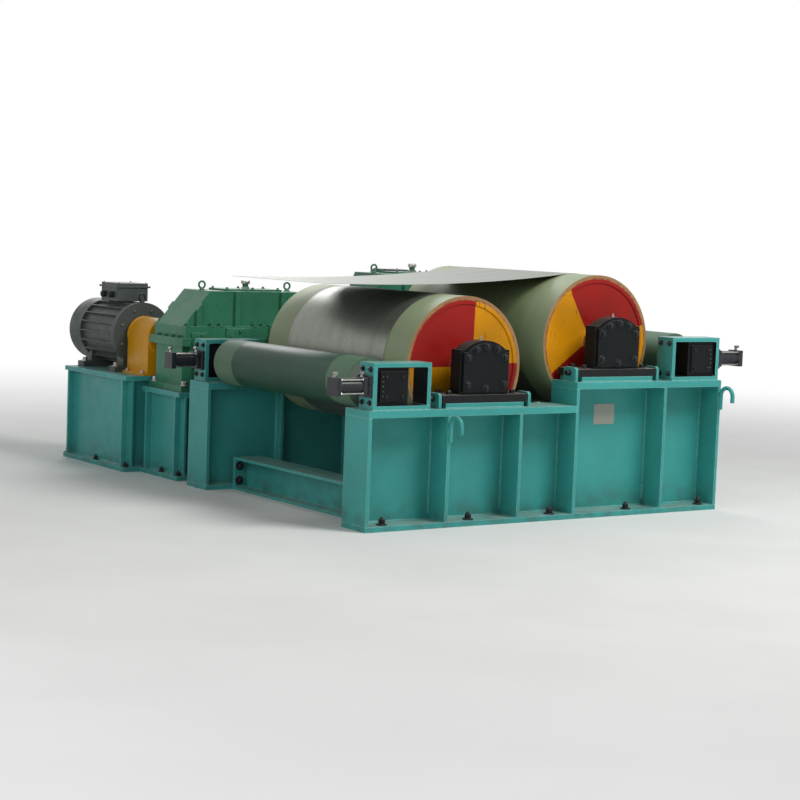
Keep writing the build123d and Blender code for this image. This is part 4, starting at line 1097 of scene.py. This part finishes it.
def motor_details():
    feet, eyes, screws, glands, plates, grilles, shade_discs = (Shape() for _ in range(7))
    for drum, axis in AXES.items():
        x, crown = outward_x(drum, MOTOR_OFFSET), axis.z + MOTOR_CROWN
        motor_feet_and_eyes(x, axis.z, feet, eyes)
        box_screws_and_glands(x, crown, SIDES[drum], screws, glands)
        motor_end_screws(x, axis.z, screws)
        fan_grille(x, axis.z, grilles, shade_discs)
        blank_plate(x, crown, plates, screws)
    piece("fan_grilles", grilles, GREY, smooth=50)
    piece("fan_opening_shade_discs", shade_discs, OPENING_SHADE)
    piece("motor_blank_plates", plates, BARE_PLATE)
    plated("motor_foot_bolts", feet)
    piece("motor_eye_bolts", eyes, BLACK_BOLT, smooth=50)
    plated("motor_screws", screws)
    black_bolts("motor_glands", glands)


GUARD_BAND = ((0.118, 0), (0.1235, 0.001), (0.1245, 0.004), (0.1245, 0.016), (0.1235, 0.019), (0.118, 0.020))
GUARD_SCREW_X = (-0.136, 0.136)
GUARD_FOOT = -0.234


def guard_details():
    bands, screws = Shape(), Shape()
    low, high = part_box("coupling_guards")
    for drum, axis in AXES.items():
        x = outward_x(drum, MOTOR_OFFSET)
        for y in (low.y + 0.004, high.y - 0.024):
            lathe(bands, (x, y, axis.z), ALONG, GUARD_BAND, 64, closed=True)
        for dx, y in product(GUARD_SCREW_X, (low.y + 0.060, high.y - 0.040)):
            bolt(screws, (x + dx, y, axis.z + GUARD_FOOT), UP, 0.017)
    piece("guard_bands", bands, YELLOW)
    plated("guard_screws", screws)


# Stands: offsets along X from the drum's axis, ends along Y, and how far below the
# axis the top is

REDUCER_STAND = ((-0.330, 0.780), (1.185, 1.685), 0.315)
MOTOR_STAND = ((MOTOR_OFFSET - 0.280, MOTOR_OFFSET + 0.280), (1.685, 2.600), 0.250)
STAND_PLATE = 0.030
WALL_INSET = 0.045
ANCHOR_INSET = 0.0225


def stand_details():
    bolts, welds = Shape(), Shape()
    for (drum, axis), (offsets, (y0, y1), drop) in product(AXES.items(), (REDUCER_STAND, MOTOR_STAND)):
        x0, x1 = sorted(outward_x(drum, offset) for offset in offsets)
        rows = (y0 + ANCHOR_INSET, (y0 + y1) / 2, y1 - ANCHOR_INSET)
        for x, y in product((x0 + ANCHOR_INSET, x1 - ANCHOR_INSET), rows):
            stud_nut(bolts, (x, y, FLOOR_PLATE), UP, 0.024, 0.012)
        left, right, near, far = x0 + WALL_INSET, x1 - WALL_INSET, y0 + WALL_INSET, y1 - WALL_INSET
        for z, way in ((FLOOR_PLATE, 1), (axis.z - drop - STAND_PLATE, -1)):
            for y, out in ((near, -1), (far, 1)):
                bead(welds, (left, y, z), (right, y, z), (0, out, 0), (0, 0, way))
            for x, out in ((left, -1), (right, 1)):
                bead(welds, (x, near, z), (x, far, z), (out, 0, 0), (0, 0, way))
    black_bolts("stand_anchor_nuts", bolts)
    teal_welds("stand_welds", welds)


# Stage

def floor_paint():
    """Pale paint that fades into the white background."""
    s = Shader("floor")
    s.set(Base_Color=s.blend(s.spread(s.noise(1.2, 4.0), 0.3, 0.7), linear("E4E4E1"), linear("E9E9E6")))
    s.set(Roughness=0.85, Specular_IOR_Level=0.1)
    x, y, z = s.parts()
    reach = s.length(x, y)
    path = s.node("LightPath").outputs
    seen = s.maths("MAXIMUM", path["Is Camera Ray"], path["Is Glossy Ray"])
    share = s.times(s.spread(reach, 3.0, 11.0), seen)
    white = s.node("Emission", {"Strength": 1.0})
    mixed = s.node("MixShader", {0: share, 1: s.surface.outputs[0], 2: white.outputs[0]})
    s.put(s.output.inputs[0], mixed.outputs[0])
    return s.material


def plain_floor():
    shape = Shape()
    lathe(shape, (0, 0.8, -0.02), UP, [(60.0, 0), (60.0, 0.02)], 96)
    new_object("floor", shape.mesh("floor", floor_paint()))


def world_light():
    """Even grey light, with a white background for the camera and for reflections."""
    world = bpy.data.worlds.new("studio")
    bpy.context.scene.world = world
    w = Nodes(world)
    path = w.node("LightPath").outputs
    seen = w.maths("MAXIMUM", path["Is Camera Ray"], path["Is Transmission Ray"])
    seen = w.maths("MAXIMUM", seen, path["Is Glossy Ray"])
    even = w.node("Background", {0: (0.93, 0.97, 1.0, 1), 1: 0.27})
    white = w.node("Background", {0: (1, 1, 1, 1)})
    mixed = w.node("MixShader", {0: seen, 1: even.outputs[0], 2: white.outputs[0]})
    w.node("OutputWorld", {0: mixed.outputs[0]})


def lamp(name, place, aim, watts, width):
    light = bpy.data.lights.new(name, "AREA")
    light.energy, light.size = watts, width
    made = new_object(name, light)
    made.location = place
    made.rotation_euler = (Vector(aim) - Vector(place)).to_track_quat("-Z", "Y").to_euler()


def lights():
    """A key from the front right and above, with soft fills."""
    aim = Vector((0.0, 0.0, 0.6))
    key = Vector((0.24, -0.62, 0.747))
    lamp("key", aim + key * 8.0, aim, 430, 3.0)
    lamp("fill_left", (-7.5, -3.0, 3.5), aim, 110, 4.0)
    lamp("fill_back", (2.5, 9.0, 6.5), (0, 1.2, 0.6), 230, 4.0)
    world_light()


# Camera: where the photograph was taken from, aimed at the machine

EYE = Vector((-7.06, -9.555, 1.63))
LEAN = 2.2
FILL = 0.90


def camera():
    """Looks at the middle of the CAD box as seen, with a lens that frames it."""
    low, high = cad_box
    corners = [Vector(corner) for corner in product(*zip(low, high))]
    aim = (low + high) / 2
    for _ in range(4):
        turn = (aim - EYE).to_track_quat("-Z", "Y").to_matrix()
        seen = [turn.transposed() @ (corner - EYE) for corner in corners]
        right = [p.x / -p.z for p in seen]
        up = [p.y / -p.z for p in seen]
        middle = Vector(((min(right) + max(right)) / 2, (min(up) + max(up)) / 2, -1))
        aim = EYE + (turn @ middle)
    half = max(max(right) - min(right), max(up) - min(up)) / 2
    lens = bpy.data.cameras.new("camera")
    lens.sensor_width = 36.0
    lens.lens = lens.sensor_width / 2 * FILL / half
    lens.clip_end = 200.0
    made = new_object("camera", lens)
    made.location = EYE
    made.rotation_mode = "QUATERNION"
    lean = Quaternion((0, 0, 1), math.radians(LEAN))
    made.rotation_quaternion = (aim - EYE).to_track_quat("-Z", "Y") @ lean
    bpy.context.scene.camera = made


bpy.context.scene.view_settings.view_transform = "Standard"
dress_nodes()
foundation_bolts()
all_frame_welds()
lifting_hook_bars()
bare_name_plate()
cross_tie_bolts()
bearing_bolts()
jacking_nuts()
for drum, axis in AXES.items():
    end_welds(drum, axis, f"{drum}_end_discs", DRUM_WELDS, DISC_PAINT[drum], drum)
    coupling_bolts(drum, axis)
for drum, name in SNUBBERS.items():
    chock_fasteners(name, SIDES[drum])
    centre = sum(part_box(f"{name}_tube"), Vector()) / 2
    end_welds(name, centre, f"{name}_tube", ROLL_WELDS, SHELL, f"{name}_roll")
bracket_welds()
guide_bolts()
cylinder_fittings()
reducer_details()
motor_details()
guard_details()
stand_details()
plain_floor()
lights()
camera()
